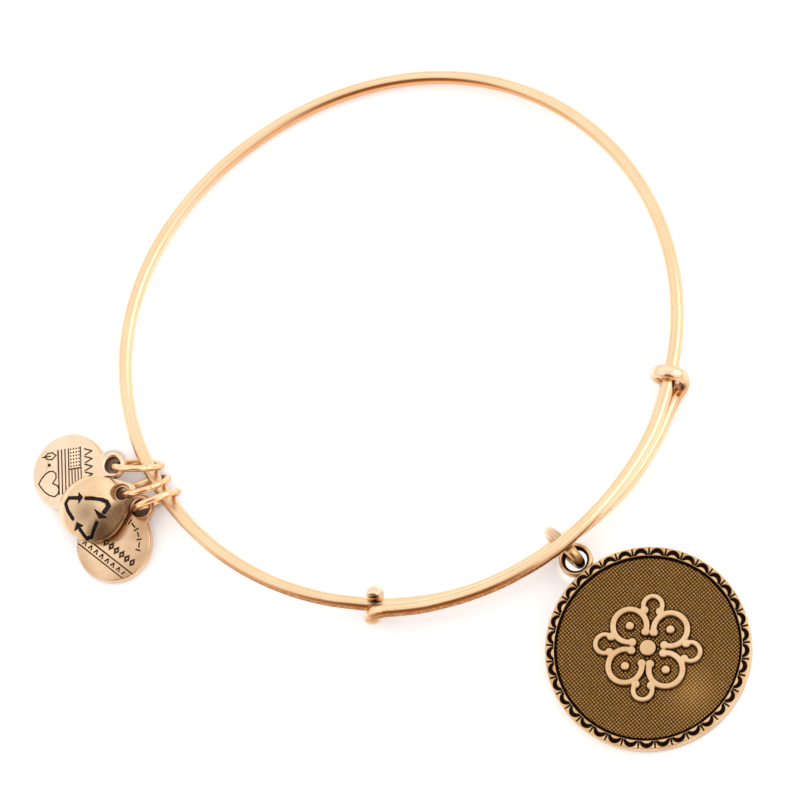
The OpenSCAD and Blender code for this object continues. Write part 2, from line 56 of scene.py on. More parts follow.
# The bent wire. Its natural curve is a circle with small two, three and four lobed parts.
WIRE_D = 1.63
BANGLE_R = 32.55
OVAL_SIZE, OVAL_DIR = 0.74, 33.2
THREE_LOBE, THREE_DIR = 0.23, 61.1
FOUR_LOBE, FOUR_DIR = 0.08, -7.3
PLANE_HEIGHT, PLANE_RISE, RISE_DIR = 1.776, 0.958, 308.25
FLANK_BOW = 0.25
LOOP_THICK, LOOP_WIDTH, LOOP_REACH, LOOP_AXIS_Z = 1.0, 1.66, 1.9, 2.45
FIRST_LOOP_AT, SECOND_LOOP_AT = 265.9, 349.9
MAIN_FROM, MAIN_TO, MAIN_COUNT = 349.0, 622.0, 46
# Plan angle, distance outside the natural curve and height along each overlapping strand.
FIRST_STRAND = (
    (270.9, 1.13, 4.02), (274.7, 1.15, 4.14), (278.5, 1.17, 4.28), (285.8, 1.22, 4.66),
    (293.1, 1.30, 5.0), (300.2, 1.34, 5.22), (304.0, 1.33, 5.27), (307.3, 1.27, 5.25),
    (314.5, 0.95, 4.76), (321.8, 0.67, 4.06), (329.4, 0.46, 3.4), (337.1, 0.32, 2.9),
    (343.0, 0.1, 2.6),
)
SECOND_STRAND = (
    (266.6, 0.03, 2.45), (270.4, 0.08, 2.45), (278.0, 0.1, 2.4), (285.4, 0.12, 2.32),
    (292.8, 0.08, 2.26), (300.1, 0.02, 2.21), (303.8, -0.03, 2.2), (307.5, -0.03, 2.17),
    (314.9, 0.3, 1.95), (322.4, 0.55, 1.6), (330.0, 0.62, 1.28), (337.8, 0.63, 1.02),
    (343.0, 0.6, 0.88),
)
# Turn round the wrapped strand, place along it, distance from it, and flatness of the wire.
FIRST_SWING = ((17, 0.1, 1.9, 0.85), (43, 0.62, 1.88, 0.45), (54, 1.6, 1.86, 0.0))
SECOND_SWING = (
    (-66, -2.05, 1.72, 0.0), (-50, -1.35, 1.76, 0.2), (-28, -0.85, 1.82, 0.5), (2, -0.4, 1.88, 0.85),
)
FIRST_TURNS, FIRST_SHIFT = (-250, -225, -195, -165, -135, -105, -75, -45, -15), (0.2, -0.05)
SECOND_TURNS, SECOND_SHIFT = (36, 66, 96, 126, 156, 186, 216, 246, 284), (0.0, 0.0)
FIRST_TURN, SECOND_TURN = 54, -66
# Length over which a cut end is rounded, and the size of its flat as a share of the wire.
END_ROUND, END_GROW = 0.22, 0.62
# Points round the wire, steps between two stations, and the gap that joins doubled points.
WIRE_SIDES, WIRE_STEPS, WELD_GAP = 28, 8, 0.002

# The medallion.
DISC_R, DISC_T, DISC_BEVEL, DISC_HEADING = 11.93, 1.55, 0.13, 128.95
BAIL_OUT, BAIL_LIFT, BAIL_PLACE = 1.69, 1.325, (307.79, 2.835)
GROOVE_R, GROOVE_W, FIELD_DEPTH, GROOVE_DEPTH = 10.89, 0.29, 0.25, 0.22
CRESCENTS = 37
CRESCENT_R, CRESCENT_W, CRESCENT_OUT, LENS_W, LENS_H = 10.95, 0.8, 0.8, 0.56, 0.3
RIM_CUT, TICK_L, TICK_W = 0.22, 0.88, 0.17
# Place and half sizes of the bar across each fine stroke, and the stroke's fullness and widest part.
BAR_AT, BAR_HALF, TICK_FULL, TICK_WIDEST = 0.13, (0.04, 0.2), 1.25, 0.4
# Points round the rim for each crescent, rows across its top, and softness of the cuts.
CUT_STEPS, RIM_ROWS, CUT_SOFT = 32, 28, 0.08
# How far cuts run down the edge, its bulge, and the width and height left untarnished.
CUT_OVER, EDGE_BULGE, BARE_EDGE, BARE_BACK = 0.06, 0.015, 0.1, 0.3
HATCH_PITCH, HATCH_DEPTH, HATCH_TURN = 0.33, 0.09, -1.4
# Points across one pitch of the hatching, and the exponent that rounds its ridges.
HATCH_STEPS, HATCH_ROUND = 4, 0.7
SCROLL_W, SCROLL_H, SCROLL_SOFT, SCROLL_CROWN = 0.8, 0.42, 0.16, 0.08
PETAL_AT, PETAL_R, CURL_AT, CURL_R = 3.35, 1.95, 5.0, 1.1
# Half spans of the arcs in degrees, and the width of a curl as a share of a petal's.
PETAL_SPAN, CURL_SPAN, CURL_THIN = 150, 125, 0.85
BALL_R, BOSS_R = 0.55, 1.0
BAIL_R, BAIL_T, BAIL_HOLE_R = 1.99, 1.35, 1.3
# The loop's rounding, steps in a corner and all round, and width and softness of its dark inside.
BAIL_ROUND, BAIL_CORNER, BAIL_SIDES, BAIL_DARK, BAIL_SOFT = 0.33, 5, 96, 0.36, 0.12
BAIL_AT = DISC_R + BAIL_OUT
DISC_TILT = math.degrees(math.asin(BAIL_LIFT / (DISC_R - DISC_BEVEL + BAIL_AT)))
# Middle and size of a paler patch in the field, and the share of its tarnish that is left out there.
PALE_PATCH_AT, PALE_PATCH_SIZE, PALE_PATCH_LOSS = (-7.05, -0.77), 1.8, 0.16
# Tarnish in the hatching's cuts, the most that chance leaves on a ridge, and the seed of chance.
CUT_DARK, RIDGE_DARK, CHANCE_SEED = 1.25, 0.3, 7
# Distance from the ornament, width and strength of the dark line round it.
LINE_AT, LINE_W, LINE_DARK = 0.03, 0.2, 0.8

# The domed charm.
DOME_PLACE, DOME_Z, DOME_TURN = (209.59, 4.045), 2.43, (28.0, 7.5)
DOME_EDGE, DOME_RISE, DOME_R = 0.8, 1.95, 4.25
# Exponents of the dome's curve, and the share by which it falls to the hole, from where and how far.
DOME_FLAT, DOME_CROWN, DOME_FALL, FALL_FROM, FALL_RUN = 2.2, 0.62, 0.5, 0.6, 2.4
# Points round the dome, rows across its top and where they begin in half turns, and rounding of its edge.
DOME_SIDES, DOME_ROWS, DOME_FIRST, DOME_ROUND = 300, 70, 0.012, 0.16
DOME_HOLE_AT, DOME_HOLE_R, DOME_SEAT_R, DOME_SEAT_T = 3.92, 0.82, 1.06, 0.5
DOME_OUTLINE = (
    (-2, 5.75), (12, 4.95), (35, 4.17), (62, 4.0), (86, 4.12), (107, 4.27), (128, 4.32), (148, 4.18),
    (169, 4.0), (196, 3.8), (232, 3.8), (255, 3.77), (285, 3.83), (314, 3.92), (340, 4.58), (352, 5.3),
)
ARROW_W, ARROW_DEPTH, ARROW_SOFT = 0.42, 0.22, 0.16
# How far the black reaches past the arrows, and its softness.
INK_GROW, INK_SOFT = 0.03, 0.06
# Width of the dark rim round the seat, tarnish in the seat, painted shade on the foot, and the strength of
# the darkening from tarnish in the middle and painted shade on the right flank.
SEAT_RIM, SEAT_DARK, FOOT_SHADE_DARK, TARNISH_AND_SHADE_DARK = 0.07, 0.9, 0.35, 0.85
ARROW_SHAFTS = (
    ((-2.3, -0.22), (-2.42, 1.0), (-2.3, 2.0), (-1.65, 2.35), (-0.64, 1.65)),
    ((0.27, 1.02), (1.73, 0.1), (2.12, -0.4), (2.1, -0.95), (1.35, -1.5)),
    ((0.04, -2.19), (-1.38, -3.15), (-2.04, -2.95), (-2.15, -1.8)),
)
ARROW_HEADS = (
    ((0.0, 1.32), (-0.24, 2.23), (-0.88, 0.94)),
    ((0.52, -1.93), (0.57, -0.68), (1.32, -2.2)),
    ((-2.04, -0.85), (-2.84, -1.5), (-1.5, -1.65)),
)

# The tags: place of the eyelet's hole, distance to it from the disc's middle, direction, pitch and radius.
UPPER_TAG = ((203.52, 3.528), 5.62, 3.8, 11.3, 4.62)
LOWER_TAG = ((213.1, 3.068), 5.2, 51.4, 8.8, 4.62)
TAG_T, TAG_BEVEL, ENGRAVE = 1.0, 0.22, 0.14
# Radius of the eyelets' holes, strength of the face's fall to its rim, and rounding of the edges.
EYELET_R, PILLOW_H, TAG_ROUND = 0.96, 0.6, 0.05


# Mesh helpers.

def grid_quads(rows, columns, wrap):
    """Faces of a grid of points stored row by row; wrap joins the last column to the first."""
    across = columns if wrap else columns - 1
    row, column = np.meshgrid(np.arange(rows - 1), np.arange(across), indexing="ij")
    row, column = row.ravel(), column.ravel()
    after = (column + 1) % columns
    return np.stack(
        [row * columns + column, row * columns + after,
         (row + 1) * columns + after, (row + 1) * columns + column], axis=1)


def new_object(name, mesh, material):
    """Puts a mesh into the scene with its material."""
    mesh.materials.append(material)
    made = bpy.data.objects.new(name, mesh)
    bpy.context.scene.collection.objects.link(made)
    return made


def make_piece(name, points, faces, material, place=None, layers=None, uv=None):
    """A smooth mesh object that rides on the part.

    points are in millimetres, layers are point values by name, and uv has two coordinates per point.
    """
    mesh = bpy.data.meshes.new(name)
    corners = [tuple(p) for p in np.asarray(points) * MM]
    mesh.from_pydata(corners, [], [tuple(int(i) for i in face) for face in faces])
    mesh.polygons.foreach_set("use_smooth", [True] * len(mesh.polygons))
    for layer, values in (layers or {}).items():
        attribute = mesh.attributes.new(layer, "FLOAT", "POINT")
        attribute.data.foreach_set("value", np.asarray(values, np.float32).ravel())
    if uv is not None:
        corner_points = np.zeros(len(mesh.loops), np.int32)
        mesh.loops.foreach_get("vertex_index", corner_points)
        corner_uv = np.asarray(uv)[corner_points].astype(np.float32)
        mesh.uv_layers.new(name="UVMap").data.foreach_set("uv", corner_uv.ravel())
    if place is not None:
        mesh.transform(place)
    mesh.update()
    piece = new_object(name, mesh, material)
    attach(piece, "root")
    return piece


def turned_grid(section, angles):
    """Radii and heights of a section turned through the angles, a row for each of its points."""
    grid = np.array(section)[:, :, None] + 0 * angles
    return grid[:, 0], grid[:, 1]


def ring_points(radii, angles, heights, at_x=0.0):
    """Points of a turned grid, round an upright axis at that distance along +X."""
    x = radii * np.cos(angles) + at_x
    y = radii * np.sin(angles)
    return np.stack([x, y, heights], axis=2).reshape(-1, 3)


def smooth_step(x):
    """0 below 0, 1 above 1 and a smooth rise between."""
    x = np.clip(x, 0.0, 1.0)
    return x * x * (3 - 2 * x)


def hermite(f, run, start, start_slope, end, end_slope):
    """Smooth curve between two values with given slopes, at a share f of the run between them."""
    g, k = f ** 2, f ** 3
    return ((2 * k - 3 * g + 1) * start + (k - 2 * g + f) * run * start_slope
            + (3 * g - 2 * k) * end + (k - g) * run * end_slope)


# The wire's path, worked out as the solid model does it.

def cosd(angle):
    return math.cos(math.radians(angle))


def sind(angle):
    return math.sin(math.radians(angle))


def natural_radius(t):
    """Radius of the natural curve at an angle round the bangle."""
    return (BANGLE_R + OVAL_SIZE * cosd(2 * (t - OVAL_DIR)) + THREE_LOBE * cosd(3 * (t - THREE_DIR))
            + FOUR_LOBE * cosd(4 * (t - FOUR_DIR)))


def natural_height(t):
    """Height of the wire's middle, highest on the side of the end loops."""
    return PLANE_HEIGHT + PLANE_RISE * cosd(t - RISE_DIR) + FLANK_BOW * (1 - cosd(2 * (t - RISE_DIR)))


def on_curve(t, out, z):
    """Point at an angle round the bangle, a distance outside its natural curve and a height."""
    r = natural_radius(t) + out
    return np.array([r * cosd(t), r * sind(t), z])


def charm_place(place, reach, heading, pitch, height):
    """Placement of a charm whose hole is at an angle and a distance outside the natural curve."""
    hole = on_curve(*place, 0.0)
    back = reach * cosd(pitch)
    at = Vector((hole[0] - back * cosd(heading), hole[1] - back * sind(heading), height))
    turn = Matrix.Rotation(math.radians(heading), 4, "Z") @ Matrix.Rotation(math.radians(-pitch), 4, "Y")
    return Matrix.Translation(at * MM) @ turn


def pointing(heading, rise):
    """Unit vector at a heading round +Z and a rise above the table, in degrees."""
    return np.array([cosd(rise) * cosd(heading), cosd(rise) * sind(heading), sind(rise)])


def loop_station(t, turn, along, reach, flat):
    """Station of the wire on its turn round the other strand, at a place along that strand."""
    forward = np.array([-sind(t), cosd(t), 0.0])
    return on_curve(t, 0, LOOP_AXIS_Z) + along * forward + reach * pointing(t, turn), pointing(t, turn), flat


def loop_part(t, turns, shift):
    """Stations of an end loop, which shifts along the other strand as it turns."""
    last = len(turns) - 1
    return [loop_station(t, turn, shift[0] + (shift[1] - shift[0]) * i / last, LOOP_REACH, 1.0)
            for i, turn in enumerate(turns)]


def wire_stations():
    """Points along the wire from end to end, each with a direction across it and its flatness."""
    main = []
    for i in range(MAIN_COUNT):
        f = i / (MAIN_COUNT - 1)
        t = MAIN_FROM + (MAIN_TO - MAIN_FROM) * f
        turn = FIRST_TURN + (SECOND_TURN - FIRST_TURN) * f
        main.append((on_curve(t, 0, natural_height(t)), pointing(t, turn), 0.0))
    return (loop_part(FIRST_LOOP_AT, FIRST_TURNS, FIRST_SHIFT)
            + [loop_station(FIRST_LOOP_AT, *row) for row in FIRST_SWING]
            + [(on_curve(*row), pointing(row[0], FIRST_TURN), 0.0) for row in FIRST_STRAND]
            + main
            + [(on_curve(*row), pointing(row[0], SECOND_TURN), 0.0) for row in SECOND_STRAND]
            + [loop_station(SECOND_LOOP_AT, *row) for row in SECOND_SWING]
            + loop_part(SECOND_LOOP_AT, SECOND_TURNS, SECOND_SHIFT))


def smooth_path(stations, steps):
    """Hermite curve through the stations, with slopes measured along the chords."""
    points = np.array([s[0] for s in stations])
    spokes = np.array([s[1] for s in stations])
    flats = np.array([s[2] for s in stations])
    chords = np.linalg.norm(np.diff(points, axis=0), axis=1)
    last = len(points) - 1
    slopes = []
    for i in range(last + 1):
        a, b = max(i - 1, 0), min(i + 1, last)
        slopes.append((points[b] - points[a]) / chords[a:b].sum())
    path, ups, flat = [], [], []
    for i in range(last):
        for s in range(steps):
            f = s / steps
            path.append(hermite(f, chords[i], points[i], slopes[i], points[i + 1], slopes[i + 1]))
            ups.append(spokes[i] * (1 - f) + spokes[i + 1] * f)
            flat.append(flats[i] * (1 - f) + flats[i + 1] * f)
    path.append(points[last])
    ups.append(spokes[last])
    flat.append(flats[last])
    return np.array(path), np.array(ups), np.array(flat)


def unit_rows(v):
    return v / np.linalg.norm(v, axis=1, keepdims=True)


def sweep(path, ups, thick, wide, sides):
    """Points, faces and (length, turn) coordinates of a round or flattened wire with rounded ends."""
    ways = unit_rows(np.vstack([path[1] - path[0], path[2:] - path[:-2], path[-1] - path[-2]]))
    ups = unit_rows(ups - (ups * ways).sum(1, keepdims=True) * ways)
    over = np.cross(ways, ups)
    caps = [(END_ROUND * f, math.sqrt(1 - (1 - END_GROW ** 2) * f * f)) for f in (1.0, 0.75, 0.4)]
    rows = ([(0, -shift, grow) for shift, grow in caps] + [(i, 0.0, 1.0) for i in range(len(path))]
            + [(len(path) - 1, shift, grow) for shift, grow in reversed(caps)])
    turn = np.linspace(0, 2 * math.pi, sides + 1)
    length = np.concatenate([[0.0], np.cumsum(np.linalg.norm(np.diff(path, axis=0), axis=1))])
    points, uv = [], []
    for i, shift, grow in rows:
        points.append(path[i] + shift * ways[i] + grow * thick[i] / 2 * np.cos(turn)[:, None] * ups[i]
                      + grow * wide[i] / 2 * np.sin(turn)[:, None] * over[i])
        uv.append(np.stack([np.full(sides + 1, (length[i] + shift) * MM), turn / (2 * math.pi)], axis=1))
    points, uv = np.vstack(points), np.vstack(uv)
    quads = [tuple(q) for q in grid_quads(len(rows), sides + 1, False)]
    first = tuple(range(sides - 1, -1, -1))
    start = (len(rows) - 1) * (sides + 1)
    final = tuple(range(start, start + sides))
    return points, quads + [first, final], uv


def build_wire():
    """The bangle's one wire, swept from end to end."""
    path, ups, flat = smooth_path(wire_stations(), WIRE_STEPS)
    thick = WIRE_D + (LOOP_THICK - WIRE_D) * flat
    wide = WIRE_D + (LOOP_WIDTH - WIRE_D) * flat
    points, faces, uv = sweep(path, ups, thick, wide, WIRE_SIDES)
    piece = make_piece("wire", points, faces, wire_metal(uv[:, 0].max()), uv=uv)
    weld(piece, WELD_GAP)
    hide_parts("bangle_wire")


def weld(piece, distance):
    """Joins the doubled points of a seam."""
    work = bmesh.new()
    work.from_mesh(piece.data)
    bmesh.ops.remove_doubles(work, verts=work.verts, dist=distance * MM)
    bmesh.ops.recalc_face_normals(work, faces=work.faces)
    work.to_mesh(piece.data)
    work.free()


# The medallion.

def medallion_place():
    """Placement of the medallion, which rests on its edge opposite the loop."""
    low = (DISC_R - DISC_BEVEL) * sind(DISC_TILT)
    return charm_place(BAIL_PLACE, BAIL_AT, DISC_HEADING, DISC_TILT, low)


def inside_amount(distance, soft):
    """1 well inside an outline, 0 outside, with a smooth shoulder."""
    return smooth_step(0.5 - distance / soft)


def box_distance(x, y, half_x, half_y):
    """Distance from a box round the origin, negative inside it."""
    dx, dy = np.abs(x) - half_x, np.abs(y) - half_y
    return np.hypot(np.maximum(dx, 0), np.maximum(dy, 0)) + np.minimum(np.maximum(dx, dy), 0)


def rim_cut_distance(r, angle):
    """Distance from the crescents and fine strokes of the rim, negative inside them."""
    step = 2 * math.pi / CRESCENTS
    to_tick = (angle + step / 2) % step - step / 2
    to_crescent = angle % step - step / 2
    u = r - CRESCENT_R
    across = r * to_crescent
    outer = (CRESCENT_W ** 2 + CRESCENT_OUT ** 2) / (2 * CRESCENT_OUT)
    inner = (LENS_W ** 2 + LENS_H ** 2) / (2 * LENS_H)
    crescent = np.maximum(np.hypot(u - CRESCENT_OUT + outer, across) - outer,
                          inner - np.hypot(u - LENS_H + inner, across))
    taper = TICK_FULL - np.abs(u / TICK_L - TICK_WIDEST)
    tick = np.maximum(np.abs(r * to_tick) - TICK_W / 2 * taper, np.abs(u - TICK_L / 2) - TICK_L / 2)
    bar = box_distance(u - BAR_AT, r * to_tick, *BAR_HALF)
    return np.maximum(np.minimum(crescent, np.minimum(tick, bar)), -u)


def rim_section():
    """Section from the groove's floor over the rim and the edge to the middle of the back."""
    groove_in, groove_z = GROOVE_R - GROOVE_W, DISC_T - FIELD_DEPTH - GROOVE_DEPTH
    section = [(groove_in - 0.06, groove_z), (groove_in, groove_z), (GROOVE_R - 0.08, groove_z),
               (GROOVE_R, groove_z + 0.08), (GROOVE_R, DISC_T - 0.05)]
    section += [(r, DISC_T) for r in np.linspace(GROOVE_R + 0.04, DISC_R - DISC_BEVEL, RIM_ROWS)]
    section += [(DISC_R - DISC_BEVEL * (1 - sind(a)), DISC_T - DISC_BEVEL * (1 - cosd(a)))
                for a in (22, 45, 67, 90)]
    section += [(DISC_R + EDGE_BULGE, DISC_T * 0.5)]
    section += [(DISC_R - DISC_BEVEL * (1 - cosd(a)), DISC_BEVEL * (1 - sind(a))) for a in (0, 30, 60, 90)]
    section += [(DISC_R * share, 0.0) for share in (0.9, 0.6, 0.3, 0.02)]
    return section


def build_medallion_rim(material):
    """The rim with its cuts, the groove, the edge and the back, turned as one skin."""
    count = CRESCENTS * CUT_STEPS
    angles = np.arange(count) * (2 * math.pi / count)
    radii, heights = turned_grid(rim_section(), angles)
    cut = inside_amount(rim_cut_distance(radii, angles), CUT_SOFT)
    is_top = (heights > DISC_T - CUT_OVER) & (radii > GROOVE_R)
    cut = np.where(is_top, cut, 0.0)
    heights = heights - RIM_CUT * cut
    darkness = np.where(heights < DISC_T - FIELD_DEPTH, 1.0, cut)
    darkness = darkness * (radii < DISC_R - BARE_EDGE) * (heights > BARE_BACK)
    faces = grid_quads(len(radii), count, True)[:, ::-1]
    piece = make_piece("medallion_rim", ring_points(radii, angles, heights), faces, material,
                       medallion_place(), {"darkness": darkness})
    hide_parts("medallion")


def turned(x, y, angle):
    """The points in axes turned by an angle."""
    return x * cosd(angle) + y * sind(angle), y * cosd(angle) - x * sind(angle)


def arc_distance(x, y, radius, half_span, width):
    """Distance from a stroke along an arc that is centred on +X, negative inside it."""
    angle = np.degrees(np.arctan2(y, x))
    on_arc = np.abs(np.hypot(x, y) - radius)
    end_x, end_y = radius * cosd(half_span), radius * sind(half_span)
    at_end = np.hypot(x - end_x, np.abs(y) - end_y)
    return np.where(np.abs(angle) <= half_span, on_arc, at_end) - width / 2


def ornament_distance(x, y):
    """Distance from the raised scroll ornament, negative inside it."""
    found = np.hypot(x, y) - BOSS_R
    for i in range(4):
        petal = (90 * i, PETAL_AT, PETAL_R, PETAL_SPAN, SCROLL_W)
        curl = (90 * i + 45, CURL_AT, CURL_R, CURL_SPAN, SCROLL_W * CURL_THIN)
        for turn, at, radius, span, width in (petal, curl):
            u, v = turned(x, y, turn)
            u = u - at
            found = np.minimum(found, arc_distance(u, v, radius, span, width))
            end = np.hypot(u - radius * cosd(span), np.abs(v) - radius * sind(span)) - BALL_R
            found = np.minimum(found, end)
        u, v = turned(x, y, 90 * i)
        found = np.minimum(found, np.hypot(u - PETAL_AT, v) - BALL_R)
    return found


def hatching(count):
    """Height of the crossed ridges over the field's grid, 0 in the cuts and 1 on top."""
    half = HATCH_STEPS / 2
    wave = 1 - np.abs(np.arange(-count, count + 1) % HATCH_STEPS - half) / half
    return np.minimum(wave[:, None], wave[None, :]) ** HATCH_ROUND


def field_patina(x, y, hatch, raised, distance):
    """Tarnish of the field: in the cuts, round the ornament, and by chance on ridges outside the paler patch,
    all a little less in that patch.
    """
    lighter = np.exp(-((x - PALE_PATCH_AT[0]) ** 2 + (y - PALE_PATCH_AT[1]) ** 2) / (2 * PALE_PATCH_SIZE ** 2))
    outline = smooth_step(1 - np.abs(distance - LINE_AT) / LINE_W)
    chance = np.random.default_rng(CHANCE_SEED).uniform(0, RIDGE_DARK, hatch.shape)
    sunk = (1 - PALE_PATCH_LOSS * lighter) * np.clip(CUT_DARK * (1 - hatch) + chance * hatch * (1 - lighter), 0, 1)
    return np.where(raised > 0.5, outline * LINE_DARK, np.maximum(sunk, outline))


def build_medallion_field(material):
    """The sunk field with its fine cross hatching and the raised ornament, as one relief."""
    reach = GROOVE_R - GROOVE_W
    spacing = HATCH_PITCH / HATCH_STEPS
    count = int(reach / spacing) + 2
    line = np.arange(-count, count + 1) * spacing
    across, down = np.meshgrid(line, line, indexing="ij")
    x, y = turned(across, down, HATCH_TURN)
    hatch = hatching(count)
    distance = ornament_distance(x, y)
    raised = inside_amount(distance, SCROLL_SOFT)
    crown = np.clip(-distance / (SCROLL_W / 2), 0, 1)
    field_z = DISC_T - FIELD_DEPTH
    height = (field_z - HATCH_DEPTH * (1 - hatch) * (1 - raised)
              + raised * (SCROLL_H - SCROLL_CROWN + SCROLL_CROWN * np.sqrt(crown)))
    radius = np.hypot(x, y)
    over = np.maximum(radius / reach, 1.0)
    x, y = x / over, y / over
    height = np.where(radius > reach, field_z - GROOVE_DEPTH, height)
    points = np.stack([x, y, height], axis=2).reshape(-1, 3)
    quads = grid_quads(len(line), len(line), False)[:, ::-1]
    near = (radius.ravel() < reach + 1.5 * spacing)[quads].all(axis=1)
    darkness = field_patina(x, y, hatch, raised, distance)
    piece = make_piece("medallion_field", points, quads[near], material, medallion_place(),
                       {"darkness": darkness, "field": 1 - raised})
    drop_loose(piece)


def drop_loose(piece):
    """Removes points that no face uses."""
    work = bmesh.new()
    work.from_mesh(piece.data)
    bmesh.ops.delete(work, geom=[v for v in work.verts if not v.link_faces], context="VERTS")
    work.to_mesh(piece.data)
    work.free()


def ring_profile(inner, outer, thick, corner, count):
    """Closed outline of a flat ring's section with rounded corners."""
    section = []
    corners = ((outer - corner, corner, -90), (outer - corner, thick - corner, 0),
               (inner + corner, thick - corner, 90), (inner + corner, corner, 180))
    for at_r, at_z, start in corners:
        for i in range(count + 1):
            a = start + 90 * i / count
            section.append((at_r + corner * cosd(a), at_z + corner * sind(a)))
    return section


def build_bail(material):
    """The loop cast on the medallion's edge."""
    section = ring_profile(BAIL_HOLE_R, BAIL_R, BAIL_T, BAIL_ROUND, BAIL_CORNER)
    angles = np.linspace(0, 2 * math.pi, BAIL_SIDES, endpoint=False)
    radii, heights = turned_grid(section, angles)
    points = ring_points(radii, angles, heights, BAIL_AT)
    darkness = smooth_step((BAIL_HOLE_R + BAIL_DARK - radii) / BAIL_SOFT)
    faces = [tuple(f) for f in grid_quads(len(section), BAIL_SIDES, True)]
    last = (len(section) - 1) * BAIL_SIDES
    faces += [(last + k, last + (k + 1) % BAIL_SIDES, (k + 1) % BAIL_SIDES, k) for k in range(BAIL_SIDES)]
    make_piece("medallion_bail", points, faces, material, medallion_place(),
               {"darkness": darkness})


# The domed charm.

def outline_radius(angles):
    """Radius of the charm's outline at each angle in degrees, as a smooth curve through the table."""
    knots = np.array([row[0] for row in DOME_OUTLINE] * 3, float)
    knots += np.repeat([-360.0, 0.0, 360.0], len(DOME_OUTLINE))
    radii = np.array([row[1] for row in DOME_OUTLINE] * 3, float)
    slopes = np.zeros(len(knots))
    slopes[1:-1] = (radii[2:] - radii[:-2]) / (knots[2:] - knots[:-2])
    i = np.searchsorted(knots, angles, side="right") - 1
    run = knots[i + 1] - knots[i]
    return hermite((angles - knots[i]) / run, run, radii[i], slopes[i], radii[i + 1], slopes[i + 1])


def segment_distance(x, y, a, b):
    """Distance from the line between two points."""
    run_x, run_y = b[0] - a[0], b[1] - a[1]
    f = np.clip(((x - a[0]) * run_x + (y - a[1]) * run_y) / (run_x ** 2 + run_y ** 2), 0, 1)
    return np.hypot(x - a[0] - f * run_x, y - a[1] - f * run_y)


def triangle_distance(x, y, corners):
    """Distance from a triangle, negative inside it."""
    centre = np.mean(corners, axis=0)
    sides = []
    for i in range(3):
        a, b = corners[i], corners[(i + 1) % 3]
        normal = np.array([b[1] - a[1], a[0] - b[0]]) / math.hypot(b[0] - a[0], b[1] - a[1])
        flip = -1 if (centre[0] - a[0]) * normal[0] + (centre[1] - a[1]) * normal[1] > 0 else 1
        sides.append(flip * ((x - a[0]) * normal[0] + (y - a[1]) * normal[1]))
    return np.max(sides, axis=0)


def arrow_distance(x, y):
    """Distance from the three chasing arrows, negative inside them."""
    found = np.full(np.shape(x), np.inf)
    for shaft in ARROW_SHAFTS:
        for a, b in zip(shaft[:-1], shaft[1:]):
            found = np.minimum(found, segment_distance(x, y, a, b) - ARROW_W / 2)
    for head in ARROW_HEADS:
        found = np.minimum(found, triangle_distance(x, y, head))
    return found


def dome_height(d, x):
    """Height of the dome at distance d from its middle, lower towards the hole."""
    share = np.clip(d / DOME_R, 0, 1)
    rise = DOME_RISE * (1 - DOME_FALL * smooth_step((x - FALL_FROM) / FALL_RUN))
    return DOME_EDGE + rise * np.maximum(1 - share ** DOME_FLAT, 0) ** DOME_CROWN


def dome_top(spread, outline, x, distance):
    """Height of the charm's top, with the arrows sunk in it and a shoulder near its outline."""
    top = dome_height(spread, x) - ARROW_DEPTH * inside_amount(distance, ARROW_SOFT)
    shoulder = np.sqrt(np.maximum(1 - (spread / outline) ** 8, 0)) * 3
    return np.minimum(top, DOME_EDGE + 0.02 + shoulder)


def tarnish_and_flank_shade(x, y):
    """How dark the dome is made: painted shade, the most, on its right flank, and some tarnish in its middle.
    """
    middle = 0.55 * np.exp(-((x + 0.6) ** 2 + (y + 0.5) ** 2) / 2.6)
    return middle + 0.95 * smooth_step((0.54 * x - 0.84 * y - 0.9) / 1.9) * smooth_step((-y - 0.2) / 1.4)


def cylinder_cutter(name, at_x, radius, low, high, place, material):
    """A temporary solid that cuts a round hole."""
    work = bmesh.new()
    middle = Matrix.Translation((at_x * MM, 0, (low + high) / 2 * MM))
    bmesh.ops.create_cone(work, cap_ends=True, segments=64, radius1=radius * MM, radius2=radius * MM,
                          depth=(high - low) * MM, matrix=middle)
    mesh = bpy.data.meshes.new(name)
    work.to_mesh(mesh)
    work.free()
    cutter = new_object(name, mesh, material)
    cutter.matrix_world = place
    return cutter


def cut_away(piece, cutters):
    """Subtracts the cutters from the piece and removes them."""
    bpy.context.view_layer.update()
    for cutter in cutters:
        step = piece.modifiers.new(cutter.name, "BOOLEAN")
        step.object = cutter
        step.operation = "DIFFERENCE"
        step.solver = "EXACT"
        step.material_mode = "TRANSFER"
    graph = bpy.context.evaluated_depsgraph_get()
    done = bpy.data.meshes.new_from_object(piece.evaluated_get(graph))
    piece.modifiers.clear()
    piece.data = done
    for cutter in cutters:
        bpy.data.objects.remove(cutter)


